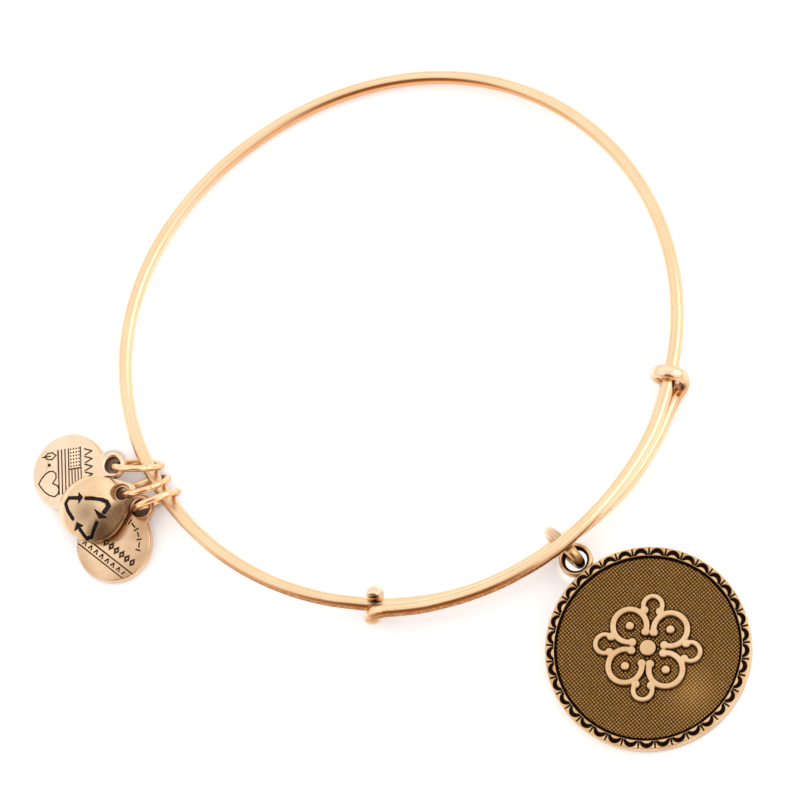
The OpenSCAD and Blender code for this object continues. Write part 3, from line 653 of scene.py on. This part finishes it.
def build_dome():
    """The drop-shaped charm: foot and wall, top from the outline inwards, and seated hole."""
    place = charm_place(DOME_PLACE, DOME_HOLE_AT, *DOME_TURN, DOME_Z)
    angles = np.linspace(-2, 358, DOME_SIDES, endpoint=False)
    turn = np.radians(angles)
    outline = outline_radius(angles)
    shares = np.sin(np.linspace(DOME_FIRST, 0.5, DOME_ROWS) * math.pi)[::-1]
    spread = shares[:, None] * outline
    x, y = spread * np.cos(turn), spread * np.sin(turn)
    distance = arrow_distance(x, y)
    foot = [(0.03, 0.0), (0.9, 0.0), (0.97, DOME_ROUND * 0.3), (1.0, DOME_ROUND),
            (1.0, DOME_EDGE - DOME_ROUND)]
    foot_share, foot_height = turned_grid(foot, turn)
    foot_spread = foot_share * outline
    spreads = np.vstack([foot_spread, spread])
    heights = np.vstack([foot_height, dome_top(spread, outline, x, distance)])
    points = ring_points(spreads, turn, heights)
    ink = np.vstack([0 * foot_spread, inside_amount(distance - INK_GROW, INK_SOFT)])
    # Painted shade on the foot and the right flank, and tarnish in the middle of the top.
    dome_tarnish_and_shade = np.vstack([0 * foot_spread + FOOT_SHADE_DARK, tarnish_and_flank_shade(x, y)])
    at_seat = np.hypot(points[:, 0] - DOME_HOLE_AT, points[:, 1]) < DOME_SEAT_R + SEAT_RIM
    darkness = np.maximum(SEAT_DARK * at_seat, dome_tarnish_and_shade.ravel() * TARNISH_AND_SHADE_DARK)
    faces = [tuple(f) for f in grid_quads(len(spreads), DOME_SIDES, True)]
    faces.append(tuple(range(DOME_SIDES - 1, -1, -1)))
    faces.append(tuple(range((len(spreads) - 1) * DOME_SIDES, len(spreads) * DOME_SIDES)))
    finish = dome_metal()
    piece = make_piece("dome", points, faces, finish, place, {"ink": ink, "darkness": darkness})
    cut_away(piece, [
        cylinder_cutter("hole_cutter", DOME_HOLE_AT, DOME_HOLE_R, -1, 4, place, hole_metal()),
        cylinder_cutter("seat_cutter", DOME_HOLE_AT, DOME_SEAT_R, DOME_SEAT_T, 4, place, finish),
    ])
    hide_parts("domed_charm")


# Materials.

# Middle and reach of the stretches that are brown and speckled on the side facing the front.
TARNISH_SPOTS = (((-12.0, -31.0, 1.5), 15.0), ((9.0, -33.0, 4.0), 19.0))
FRONT_SIDE = (0.05, -0.95, -0.3)
# Where that side is russet: tarnish on the bottom stretches, painted shade on the top stretch and by the
# right loop; and the painted shadows in the gaps of the end loops.
RUSSET_SPOTS = TARNISH_SPOTS + (((0.0, 30.0, 1.0), 32.0), ((32.1, -5.8, 3.0), 6.0))
GAP_SHADOW_SPOTS = (((-1.95, -32.3, 3.9), 1.1), ((31.0, -6.8, 2.6), 0.8), ((33.2, -7.0, 2.8), 0.9),
              ((33.0, -8.3, 2.6), 0.7))
# Where the jump rings rub the wire matt.
RUBBED_SPOTS = (((-29.0, -16.8, 1.6), 8.0),)
# Where the oval ring is darker, in the medallion's loop, and where it is paler, at its far end by the wire.
OVAL_DARK = (((22.3, -28.6, 2.2), 2.6),)
OVAL_PALE = (((16.4, -22.6, 3.0), 4.6),)

# Colours of the wire: its metal, then streaks, specks and pale ends, then its russet tarnish and painted
# shade, brown tarnish, painted shade in contacts and painted shadow in the loops' gaps.
ROSE, ROSE_LIGHT = (0.92, 0.655, 0.40), (0.96, 0.715, 0.465)
STREAK, SPECK, PALE_END = (0.80, 0.48, 0.24), (0.42, 0.22, 0.10), (0.96, 0.79, 0.62)
RUSSET, BROWN = (0.72, 0.34, 0.13), (0.30, 0.11, 0.035)
CONTACT_SHADE, GAP_SHADOW = (0.12, 0.045, 0.02), (0.07, 0.02, 0.008)
# Colours of the jump rings: their metal, then specks, and the painted shade of their sides, underside and
# contacts.
RING, RING_LIGHT = (0.98, 0.66, 0.38), (1.0, 0.76, 0.49)
RING_SPECK, RING_SIDE_SHADE = (0.55, 0.28, 0.12), (0.86, 0.44, 0.17)
RING_UNDER_SHADE, RING_CONTACT_SHADE = (0.45, 0.18, 0.06), (0.14, 0.06, 0.03)
# Antiqued metals: a light and a deep shade, and the dark of the recesses.
MEDALLION_GOLD = ((0.84, 0.57, 0.32), (0.68, 0.42, 0.20), (0.012, 0.006, 0.003))
FIELD_GOLD = ((0.88, 0.61, 0.36), (0.78, 0.51, 0.28), (0.036, 0.011, 0.001))
# The hole's wall is dark all over as painted shade.
HOLE_WALL_SHADE = ((0.36, 0.20, 0.10), (0.20, 0.10, 0.05), (0.02, 0.01, 0.006))
DOME_GOLD = ((1.0, 0.73, 0.47), (0.92, 0.63, 0.38), (0.12, 0.055, 0.022))
OVAL_GOLD = ((0.74, 0.47, 0.23), (0.50, 0.29, 0.12), (0.03, 0.015, 0.006))
UPPER_GOLD = ((0.97, 0.77, 0.58), (0.90, 0.68, 0.48), (0.10, 0.042, 0.020))
LOWER_GOLD = ((0.84, 0.60, 0.39), (0.60, 0.38, 0.22), (0.10, 0.042, 0.020))
# The field's ground, the arrows' enamel, the oval ring's darker and paler parts, and the tags' edges, pale
# from wear and a painted highlight.
FIELD_GROUND, ENAMEL = (1.0, 0.56, 0.18), (0.026, 0.020, 0.021)
OVAL_BROWN, OVAL_PALER, TAG_EDGE_HIGHLIGHT = (0.16, 0.075, 0.022), (0.93, 0.68, 0.50), (1.0, 0.85, 0.66)


class Nodes:
    """Short calls that build the nodes of a material or of the world."""

    def __init__(self, owner):
        owner.use_nodes = True
        self.tree = owner.node_tree
        self.tree.nodes.clear()

    def add(self, kind, **settings):
        node = self.tree.nodes.new(kind)
        for key, value in settings.items():
            setattr(node, key, value)
        return node

    def fill(self, socket, value):
        """Links another node's output to a socket, or sets its value."""
        if isinstance(value, bpy.types.NodeSocket):
            self.tree.links.new(value, socket)
        else:
            socket.default_value = value

    def put(self, node, **values):
        """Fills inputs by name; spaces in a name are written as underscores."""
        for key, value in values.items():
            self.fill(node.inputs[key.replace("_", " ")], value)
        return node

    def math(self, operation, a, b=0.0):
        node = self.add("ShaderNodeMath", operation=operation)
        self.fill(node.inputs[0], a)
        self.fill(node.inputs[1], b)
        return node.outputs[0]

    def times(self, a, b):
        return self.math("MULTIPLY", a, b)

    def vectors(self, operation, a, b=(0.0, 0.0, 0.0)):
        """A vector or a number from two vectors."""
        node = self.add("ShaderNodeVectorMath", operation=operation)
        self.fill(node.inputs[0], a)
        self.fill(node.inputs[1], b)
        return node.outputs["Value" if operation in ("DOT_PRODUCT", "DISTANCE", "LENGTH") else "Vector"]

    def axis(self, vector, name):
        return self.put(self.add("ShaderNodeSeparateXYZ"), Vector=vector).outputs[name]

    def ranged(self, value, low, high, to_low=0.0, to_high=1.0, curve="LINEAR"):
        node = self.add("ShaderNodeMapRange", interpolation_type=curve)
        self.put(node, Value=value, From_Min=low, From_Max=high, To_Min=to_low, To_Max=to_high)
        return node.outputs["Result"]

    def mix(self, factor, a, b):
        """Mixes two colours."""
        node = self.add("ShaderNodeMix", data_type="RGBA")
        for index, value in ((0, factor), (6, a), (7, b)):
            self.fill(node.inputs[index], (*value, 1.0) if isinstance(value, tuple) else value)
        return node.outputs[2]


class Shader(Nodes):
    """The nodes of one material."""

    def __init__(self, name):
        self.material = bpy.data.materials.new(name)
        super().__init__(self.material)
        self.surface = self.add("ShaderNodeBsdfPrincipled")
        self.put(self.add("ShaderNodeOutputMaterial"), Surface=self.surface.outputs["BSDF"])

    def noise(self, vector, scale, detail=3.0, rough=0.5):
        node = self.add("ShaderNodeTexNoise")
        return self.put(node, Vector=vector, Scale=scale, Detail=detail, Roughness=rough).outputs["Fac"]

    def object_space(self):
        return self.add("ShaderNodeTexCoord").outputs["Object"]

    def stretched(self, vector, x, y, z):
        node = self.add("ShaderNodeMapping")
        return self.put(node, Vector=vector, Scale=(x, y, z)).outputs["Vector"]

    def layer(self, name):
        return self.add("ShaderNodeAttribute", attribute_name=name).outputs["Fac"]

    def facing(self, side):
        """How much the surface faces a fixed direction, from -1 to 1."""
        return self.vectors("DOT_PRODUCT", self.add("ShaderNodeNewGeometry").outputs["Normal"], side)

    def near_spots(self, spot, spots):
        """1 near any of the spots, each a centre and a reach in millimetres."""
        found = 0.0
        for centre, reach in spots:
            gap = self.vectors("DISTANCE", spot, tuple(c * MM for c in centre))
            here = self.ranged(gap, reach * MM, reach * 0.6 * MM)
            found = self.math("MAXIMUM", here, found)
        return found

    def crevice(self, distance, inside=False):
        """1 in the open, towards 0 in corners, or at sharp edges if inside is true."""
        node = self.add("ShaderNodeAmbientOcclusion", inside=inside, samples=6)
        return self.put(node, Distance=distance * MM).outputs["AO"]

    def bump(self, height, strength, distance, normal=None):
        node = self.add("ShaderNodeBump")
        self.put(node, Height=height, Strength=strength, Distance=distance * MM)
        if normal is not None:
            self.put(node, Normal=normal)
        return node.outputs["Normal"]

    def metal(self, colour, rough, normal):
        """Makes the surface a metal."""
        self.put(self.surface, Base_Color=colour, Metallic=1.0, Roughness=rough, Normal=normal)
        return self.material

    def tint(self, amount, colour):
        """Mixes one more colour over that of the surface."""
        below = self.surface.inputs["Base Color"].links[0].from_socket
        self.put(self.surface, Base_Color=self.mix(amount, below, colour))


def wire_colour(s, spot, streak):
    """The clean wire with its drawn streaks and dark specks."""
    cloud = s.noise(spot, 160.0, 2.0)
    speck = s.noise(spot, 3400.0, 2.0)
    base = s.mix(s.ranged(cloud, 0.35, 0.65), ROSE, ROSE_LIGHT)
    base = s.mix(s.ranged(streak, 0.5, 0.72, 0.0, 0.28), base, STREAK)
    return s.mix(s.ranged(speck, 0.68, 0.76, 0.0, 0.45), base, SPECK)


def wire_tarnish_and_shade(s, base, spot, from_end):
    """Adds pale ends, russet that is tarnish and painted shade, brown tarnish, painted shade in the contacts
    and painted shadow in the loops' gaps.
    """
    base = s.mix(s.ranged(from_end, 9 * MM, 7 * MM, 0.0, 0.5), base, PALE_END)
    away = s.ranged(from_end, 8 * MM, 10 * MM)
    side = s.facing(FRONT_SIDE)
    # Russet on the side facing the front: tarnish on the bottom stretches, painted shade on the top stretch
    # and by the right loop.
    russet = s.times(s.ranged(side, 0.0, 0.4, 0.0, 0.82), s.near_spots(spot, RUSSET_SPOTS))
    russet = s.times(russet, s.math("ADD", 0.35, s.times(away, 0.65)))
    base = s.mix(russet, base, RUSSET)
    patchy = s.ranged(s.noise(spot, 3300.0, 3.0, 0.6), 0.42, 0.54, 0.5, 1.0)
    brown = s.times(s.ranged(side, 0.25, 0.7, 0.0, 0.95), s.times(s.near_spots(spot, TARNISH_SPOTS), away))
    base = s.mix(s.times(brown, patchy), base, BROWN)
    # Painted shade in the contacts, full near the ends and weaker elsewhere.
    contact = s.ranged(s.crevice(0.8), 0.2, 0.65, 0.95, 0.0)
    base = s.mix(s.times(contact, s.ranged(from_end, 12 * MM, 10 * MM, 0.3, 1.0)), base, CONTACT_SHADE)
    # Painted shadow in the gaps of the end loops.
    return s.mix(s.times(s.near_spots(spot, GAP_SHADOW_SPOTS), 0.92), base, GAP_SHADOW)


def wire_metal(end):
    """Rose copper gold wire: a satin polish with faint drawn streaks and pits, brown where it was not rubbed,
    and painted shade on its front side, in its contacts and in the loops' gaps.

    end is the length coordinate of the second cut end, in metres.
    """
    s = Shader("rose_wire_drawn")
    uv = s.add("ShaderNodeTexCoord").outputs["UV"]
    spot = s.object_space()
    streak = s.noise(s.stretched(uv, 60, 14, 1), 1.0, 4.0, 0.6)
    fine = s.noise(s.stretched(uv, 900, 40, 1), 1.0, 2.0)
    along = s.axis(uv, "X")
    from_end = s.math("MINIMUM", along, s.math("SUBTRACT", end - END_ROUND * MM, along))
    height = s.math("ADD", s.times(streak, 0.4), s.times(fine, 0.3))
    rubbed = s.times(s.near_spots(spot, RUBBED_SPOTS), 0.11)
    rough = s.math("ADD", s.ranged(fine, 0.3, 0.7, 0.17, 0.26), rubbed)
    colour = wire_tarnish_and_shade(s, wire_colour(s, spot, streak), spot, from_end)
    return s.metal(colour, rough, s.bump(height, 0.15, 0.012))


def ring_metal():
    """The jump rings' thin rose wire, with painted shade on its sides, underside and contacts."""
    s = Shader("rose_ring_wire")
    spot = s.object_space()
    cloud = s.noise(spot, 420.0, 2.0)
    speck = s.noise(spot, 4200.0, 2.0)
    base = s.mix(s.ranged(cloud, 0.35, 0.65), RING, RING_LIGHT)
    base = s.mix(s.ranged(speck, 0.62, 0.72, 0.0, 0.4), base, RING_SPECK)
    # Painted shade on the sides and underside, and in the contacts.
    up = s.facing((0.0, 0.0, 1.0))
    base = s.mix(s.ranged(up, 0.7, 0.25, 0.0, 0.85), base, RING_SIDE_SHADE)
    base = s.mix(s.ranged(up, 0.2, -0.3, 0.0, 0.7), base, RING_UNDER_SHADE)
    base = s.mix(s.ranged(s.crevice(0.5), 0.2, 0.7, 0.9, 0.0), base, RING_CONTACT_SHADE)
    return s.metal(base, s.ranged(cloud, 0.3, 0.7, 0.15, 0.24), s.bump(speck, 0.2, 0.01))


def antique_metal(name, shades, layer_names=(), rough=0.26, sunk=None, reach=0.3, ground=None, smudged=0.4,
                  normal=None, lighter=None):
    """Tan gold metal with dark antiquing in its recesses, and paler edges from wear and a painted highlight.

    sunk is one more mask of recesses, ground the colour of the layer named field, and lighter that of the
    edges.
    """
    light, deep, dark = shades
    s = Shader(name)
    spot = s.object_space()
    cloud = s.noise(spot, 240.0, 3.0)
    grain = s.noise(spot, 5200.0, 2.0)
    smudge = s.noise(spot, 900.0, 4.0, 0.65)
    base = s.mix(s.ranged(cloud, 0.35, 0.65), deep, light)
    base = s.mix(s.ranged(smudge, 0.52, 0.75, 0.0, smudged), base, tuple(0.55 * c for c in deep))
    if ground is not None:
        base = s.mix(s.layer("field"), base, ground)
    # Paler edges: wear, with a painted highlight where the edge colour is paler still, as on the tags.
    edge = s.ranged(s.crevice(0.12, inside=True), 0.35, 0.75, 0.7, 0.0)
    base = s.mix(edge, base, lighter or light)
    mask = s.ranged(s.crevice(reach), 0.3, 0.8, 1.0, 0.0)
    for layer in layer_names:
        mask = s.math("MAXIMUM", mask, s.layer(layer))
    if sunk is not None:
        mask = s.math("MAXIMUM", mask, sunk(s, spot))
    mask = s.math("MINIMUM", s.times(mask, s.ranged(grain, 0.2, 0.6, 0.9, 1.1)), 1.0)
    base = s.mix(s.math("POWER", mask, 0.65), base, dark)
    dull = s.math("ADD", s.ranged(mask, 0.0, 1.0, rough, 0.5), s.ranged(smudge, 0.3, 0.7, -0.04, 0.08))
    under = None if normal is None else normal(s, spot)
    height = s.math("ADD", grain, s.times(smudge, 0.6))
    s.metal(base, dull, s.bump(height, 0.6 * smudged, 0.012, under))
    return s


def medallion_metal():
    """Tan gold of the medallion's rim, edge, back and loop, black in the cuts."""
    return antique_metal("medallion_antique", MEDALLION_GOLD, ("darkness",)).material


def field_metal():
    """The medallion's dark hatched field with bright worn points and a tan relief."""
    return antique_metal("field_antique", FIELD_GOLD, ("darkness",), ground=FIELD_GROUND).material


def hole_metal():
    """The wall of the domed charm's hole, dark with painted shade."""
    return antique_metal("hole_wall_painted_shade", HOLE_WALL_SHADE).material


def dome_metal():
    """Tan gold with black enamel in the arrows."""
    s = antique_metal("dome_antique", DOME_GOLD, ("darkness",), rough=0.22, smudged=0.3)
    s.tint(s.ranged(s.layer("ink"), 0.35, 0.8), ENAMEL)
    return s.material


def oval_ring_metal():
    """Thick ring of dark tan gold, darker in the medallion's loop and paler at its far end by the wire."""
    s = antique_metal("oval_ring_antique", OVAL_GOLD, reach=0.7, rough=0.2)
    spot = s.object_space()
    s.tint(s.times(s.near_spots(spot, OVAL_DARK), 0.85), OVAL_BROWN)
    s.tint(s.near_spots(spot, OVAL_PALE), OVAL_PALER)
    return s.material


def tag_metal(name, shades, tag):
    """Satin gold with brown antiquing in the engraving, painted shade on the eyelet's wall, and its face
    lower near the rim.
    """
    place, reach, heading, pitch, radius = tag
    lie = charm_place(place, reach, heading, pitch, (radius - TAG_BEVEL) * sind(pitch))
    normal, middle = lie.col[2].xyz, lie.translation
    eyelet = lie @ Vector((reach * MM, 0, 0))

    def span_from(s, spot, centre):
        """Distance from the line through a centre, square to the tag's face."""
        side = s.vectors("CROSS_PRODUCT", s.vectors("SUBTRACT", spot, centre), normal)
        return s.vectors("LENGTH", side)

    def engraving(s, spot):
        """1 on the floor of the engraved lines, by depth under the tag's face, and painted shade on the
        eyelet's wall.
        """
        depth = s.vectors("DOT_PRODUCT", s.vectors("SUBTRACT", spot, middle), normal)
        below = s.ranged(depth, (TAG_T - 0.02) * MM, (TAG_T - ENGRAVE * 0.7) * MM)
        above = s.ranged(depth, (TAG_T - ENGRAVE * 2) * MM, (TAG_T - ENGRAVE * 1.5) * MM)
        span = span_from(s, spot, middle)
        inner = s.ranged(span, (radius - TAG_BEVEL) * MM, (radius - TAG_BEVEL * 1.4) * MM)
        lines = s.times(s.times(below, above), s.times(inner, 0.9))
        # The eyelet's wall: painted shade.
        wall = s.ranged(span_from(s, spot, eyelet), (EYELET_R + 0.08) * MM, (EYELET_R + 0.02) * MM)
        return s.math("MAXIMUM", lines, s.times(wall, 0.85))

    def pillow(s, spot):
        """The normal of a face that falls away a little towards the rim."""
        share = s.math("DIVIDE", span_from(s, spot, middle), radius * MM)
        return s.bump(s.times(s.times(share, share), -1.0), 1.0, PILLOW_H)

    return antique_metal(name, shades, rough=0.2, sunk=engraving, smudged=0.14, normal=pillow,
                         lighter=TAG_EDGE_HIGHLIGHT).material


def dress_solid(node, material):
    """Gives a solid of the frame its finish."""
    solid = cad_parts[node]
    solid.data.materials.clear()
    solid.data.materials.append(material)
    return solid


def round_edges(solid, width):
    """Joins split points and rounds sharp edges a little."""
    join = solid.modifiers.new("join", "WELD")
    join.merge_threshold = WELD_GAP * MM
    bevel = solid.modifiers.new("round", "BEVEL")
    bevel.width = width * MM
    bevel.segments = 2
    bevel.limit_method = "ANGLE"
    bevel.angle_limit = math.radians(32)
    bevel.use_clamp_overlap = False
    bevel.harden_normals = True


# Floor, light and camera.

FLOOR_SIZE, FLOOR_GLOW, GLOW_COLOUR = 1.5, 0.34, (0.97, 0.985, 1.0, 1.0)
# The paper's two shades, and the shadows among the charms and under their holes.
PAPER, PAPER_LIGHT = (0.895, 0.925, 0.96), (0.915, 0.945, 0.975)
CHARM_SHADE, HOLE_SHADE = (0.60, 0.36, 0.20), (0.12, 0.055, 0.03)
# Middle and reach of the small charms, whose shadows are deep.
CLUSTER = (((-34.0, -18.0, 0.0), 15.0),)
# Painted shadows, the darkest places on the paper, under the holes of the small charms.
HOLE_SHADOW_SPOTS = (((-34.5, -13.6, 0.0), 1.7), ((-33.3, -17.5, 0.0), 1.5), ((-31.0, -19.5, 0.0), 1.7))
# Where the paper glows more, a painted pool of light, seen through the medallion's loop.
LOOP_GLOW_SPOTS = (((21.2, -27.6, 0.0), 2.6),)


def paper():
    """White paper that glows a little, less in the warm shadow of the small charms, more under the loop."""
    s = Shader("white_paper")
    spot = s.object_space()
    grain = s.noise(spot, 300.0, 3.0)
    shade = s.times(s.ranged(s.crevice(5.0), 0.4, 0.1), s.near_spots(spot, CLUSTER))
    deep = s.times(s.near_spots(spot, HOLE_SHADOW_SPOTS), 0.8)
    glow = s.ranged(s.math("MAXIMUM", shade, deep), 0.0, 0.8, FLOOR_GLOW, 0.0)
    glow = s.math("ADD", glow, s.times(s.near_spots(spot, LOOP_GLOW_SPOTS), 0.4))
    colour = s.mix(shade, s.mix(grain, PAPER, PAPER_LIGHT), CHARM_SHADE)
    s.put(s.surface, Base_Color=s.mix(deep, colour, HOLE_SHADE), Specular_IOR_Level=0.1,
          Roughness=s.ranged(grain, 0.0, 1.0, 0.8, 0.95), Emission_Color=GLOW_COLOUR, Emission_Strength=glow)
    return s.material


def build_floor():
    """The sheet that the bangle lies on."""
    work = bmesh.new()
    bmesh.ops.create_grid(work, x_segments=4, y_segments=4, size=FLOOR_SIZE)
    mesh = bpy.data.meshes.new("floor")
    work.to_mesh(mesh)
    work.free()
    floor = new_object("floor", mesh, paper())


# Heading of the tent's dark opening, and the cosines of the turn over which it fades.
OPENING_HEADING, OPENING_FADE = 262.0, (0.78, 0.94)
# Colours of the opening and of the rest of the tent, by height from 0 at the horizon to 1 straight above.
OPENING_RAMP = (
    (0.0, (0.80, 0.62, 0.46)), (0.15, (0.72, 0.47, 0.29)), (0.4, (0.50, 0.26, 0.12)),
    (0.55, (0.24, 0.09, 0.025)), (0.82, (0.20, 0.07, 0.018)), (0.93, (0.85, 0.72, 0.58)),
    (0.98, (0.97, 0.93, 0.90)),
)
TENT_RAMP = (
    (0.0, (0.86, 0.82, 0.78)), (0.25, (0.94, 0.91, 0.89)), (0.6, (1.05, 1.04, 1.03)),
    (0.85, (1.12, 1.10, 1.08)), (0.98, (0.97, 0.93, 0.90)),
)
# The bright patch: its direction, the cosines of its outer and inner half angle, and its colour.
LAMP_AT, LAMP_FADE, LAMP_COLOUR = (10.0, 37.0), (cosd(26.0), cosd(6.0)), (1.0, 0.98, 0.95, 1.0)
TENT_STRENGTH = 1.06


def ramp_colour(s, height, stops):
    """The colour of a ramp at a height."""
    node = s.put(s.add("ShaderNodeValToRGB"), Fac=height)
    while len(node.color_ramp.elements) < len(stops):
        node.color_ramp.elements.new(1.0)
    for element, (position, colour) in zip(node.color_ramp.elements, stops):
        element.position = position
        element.color = (*colour, 1.0)
    return node.outputs["Color"]


def toward(s, way, heading, rise, fade):
    """0 to 1 as a direction turns towards the given one, between two values of the cosine."""
    return s.ranged(s.vectors("DOT_PRODUCT", way, pointing(heading, rise)), *fade, curve="SMOOTHSTEP")


def build_light():
    """A white light tent with a dark warm opening in front and a brighter patch on the right."""
    world = bpy.data.worlds.new("light_tent")
    bpy.context.scene.world = world
    s = Nodes(world)
    way = s.add("ShaderNodeTexCoord").outputs["Generated"]
    height = s.axis(way, "Z")
    compass = s.vectors("NORMALIZE", s.vectors("MULTIPLY", way, (1.0, 1.0, 0.0)))
    opening = toward(s, compass, OPENING_HEADING, 0.0, OPENING_FADE)
    colour = s.mix(opening, ramp_colour(s, height, TENT_RAMP), ramp_colour(s, height, OPENING_RAMP))
    tent = s.put(s.add("ShaderNodeBackground"), Color=colour, Strength=TENT_STRENGTH)
    patch = toward(s, way, *LAMP_AT, LAMP_FADE)
    lamp = s.put(s.add("ShaderNodeBackground"), Color=LAMP_COLOUR, Strength=patch)
    both = s.add("ShaderNodeAddShader")
    s.fill(both.inputs[0], tent.outputs[0])
    s.fill(both.inputs[1], lamp.outputs[0])
    s.put(s.add("ShaderNodeOutputWorld"), Surface=both.outputs[0])


def build_camera():
    """A camera at the photograph's angle, rolled so that +Y runs up the picture."""
    to_camera = Vector(pointing(CAMERA_AZIMUTH, CAMERA_ELEVATION))
    level_right = Vector((-sind(CAMERA_AZIMUTH), cosd(CAMERA_AZIMUTH), 0.0))
    level_up = to_camera.cross(level_right)
    roll = math.radians(CAMERA_AZIMUTH - 270)
    right = math.cos(roll) * level_right - math.sin(roll) * level_up
    up = math.sin(roll) * level_right + math.cos(roll) * level_up
    place = Matrix((right, up, to_camera)).transposed().to_4x4()
    place.translation = (Vector(CAMERA_TARGET) + CAMERA_DISTANCE * to_camera) * MM
    data = bpy.data.cameras.new("camera")
    data.sensor_width = SENSOR_WIDTH
    data.lens = SENSOR_WIDTH * CAMERA_DISTANCE / PICTURE_WIDTH
    data.clip_start = 0.01
    data.clip_end = 10.0
    camera = bpy.data.objects.new("camera", data)
    camera.matrix_world = place
    bpy.context.scene.collection.objects.link(camera)
    bpy.context.scene.camera = camera


build_camera()
build_light()
build_floor()
build_wire()
medallion_finish = medallion_metal()
build_medallion_rim(medallion_finish)
build_medallion_field(field_metal())
build_bail(medallion_finish)
build_dome()
for ring in ("upper_ring", "middle_ring", "lower_ring"):
    dress_solid(ring, ring_metal())
dress_solid("medallion_ring", oval_ring_metal())
for tag, shades, measures in (("upper_tag", UPPER_GOLD, UPPER_TAG), ("lower_tag", LOWER_GOLD, LOWER_TAG)):
    round_edges(dress_solid(tag, tag_metal(tag + "_gold", shades, measures)), TAG_ROUND)
bpy.context.scene.view_settings.view_transform = "Standard"
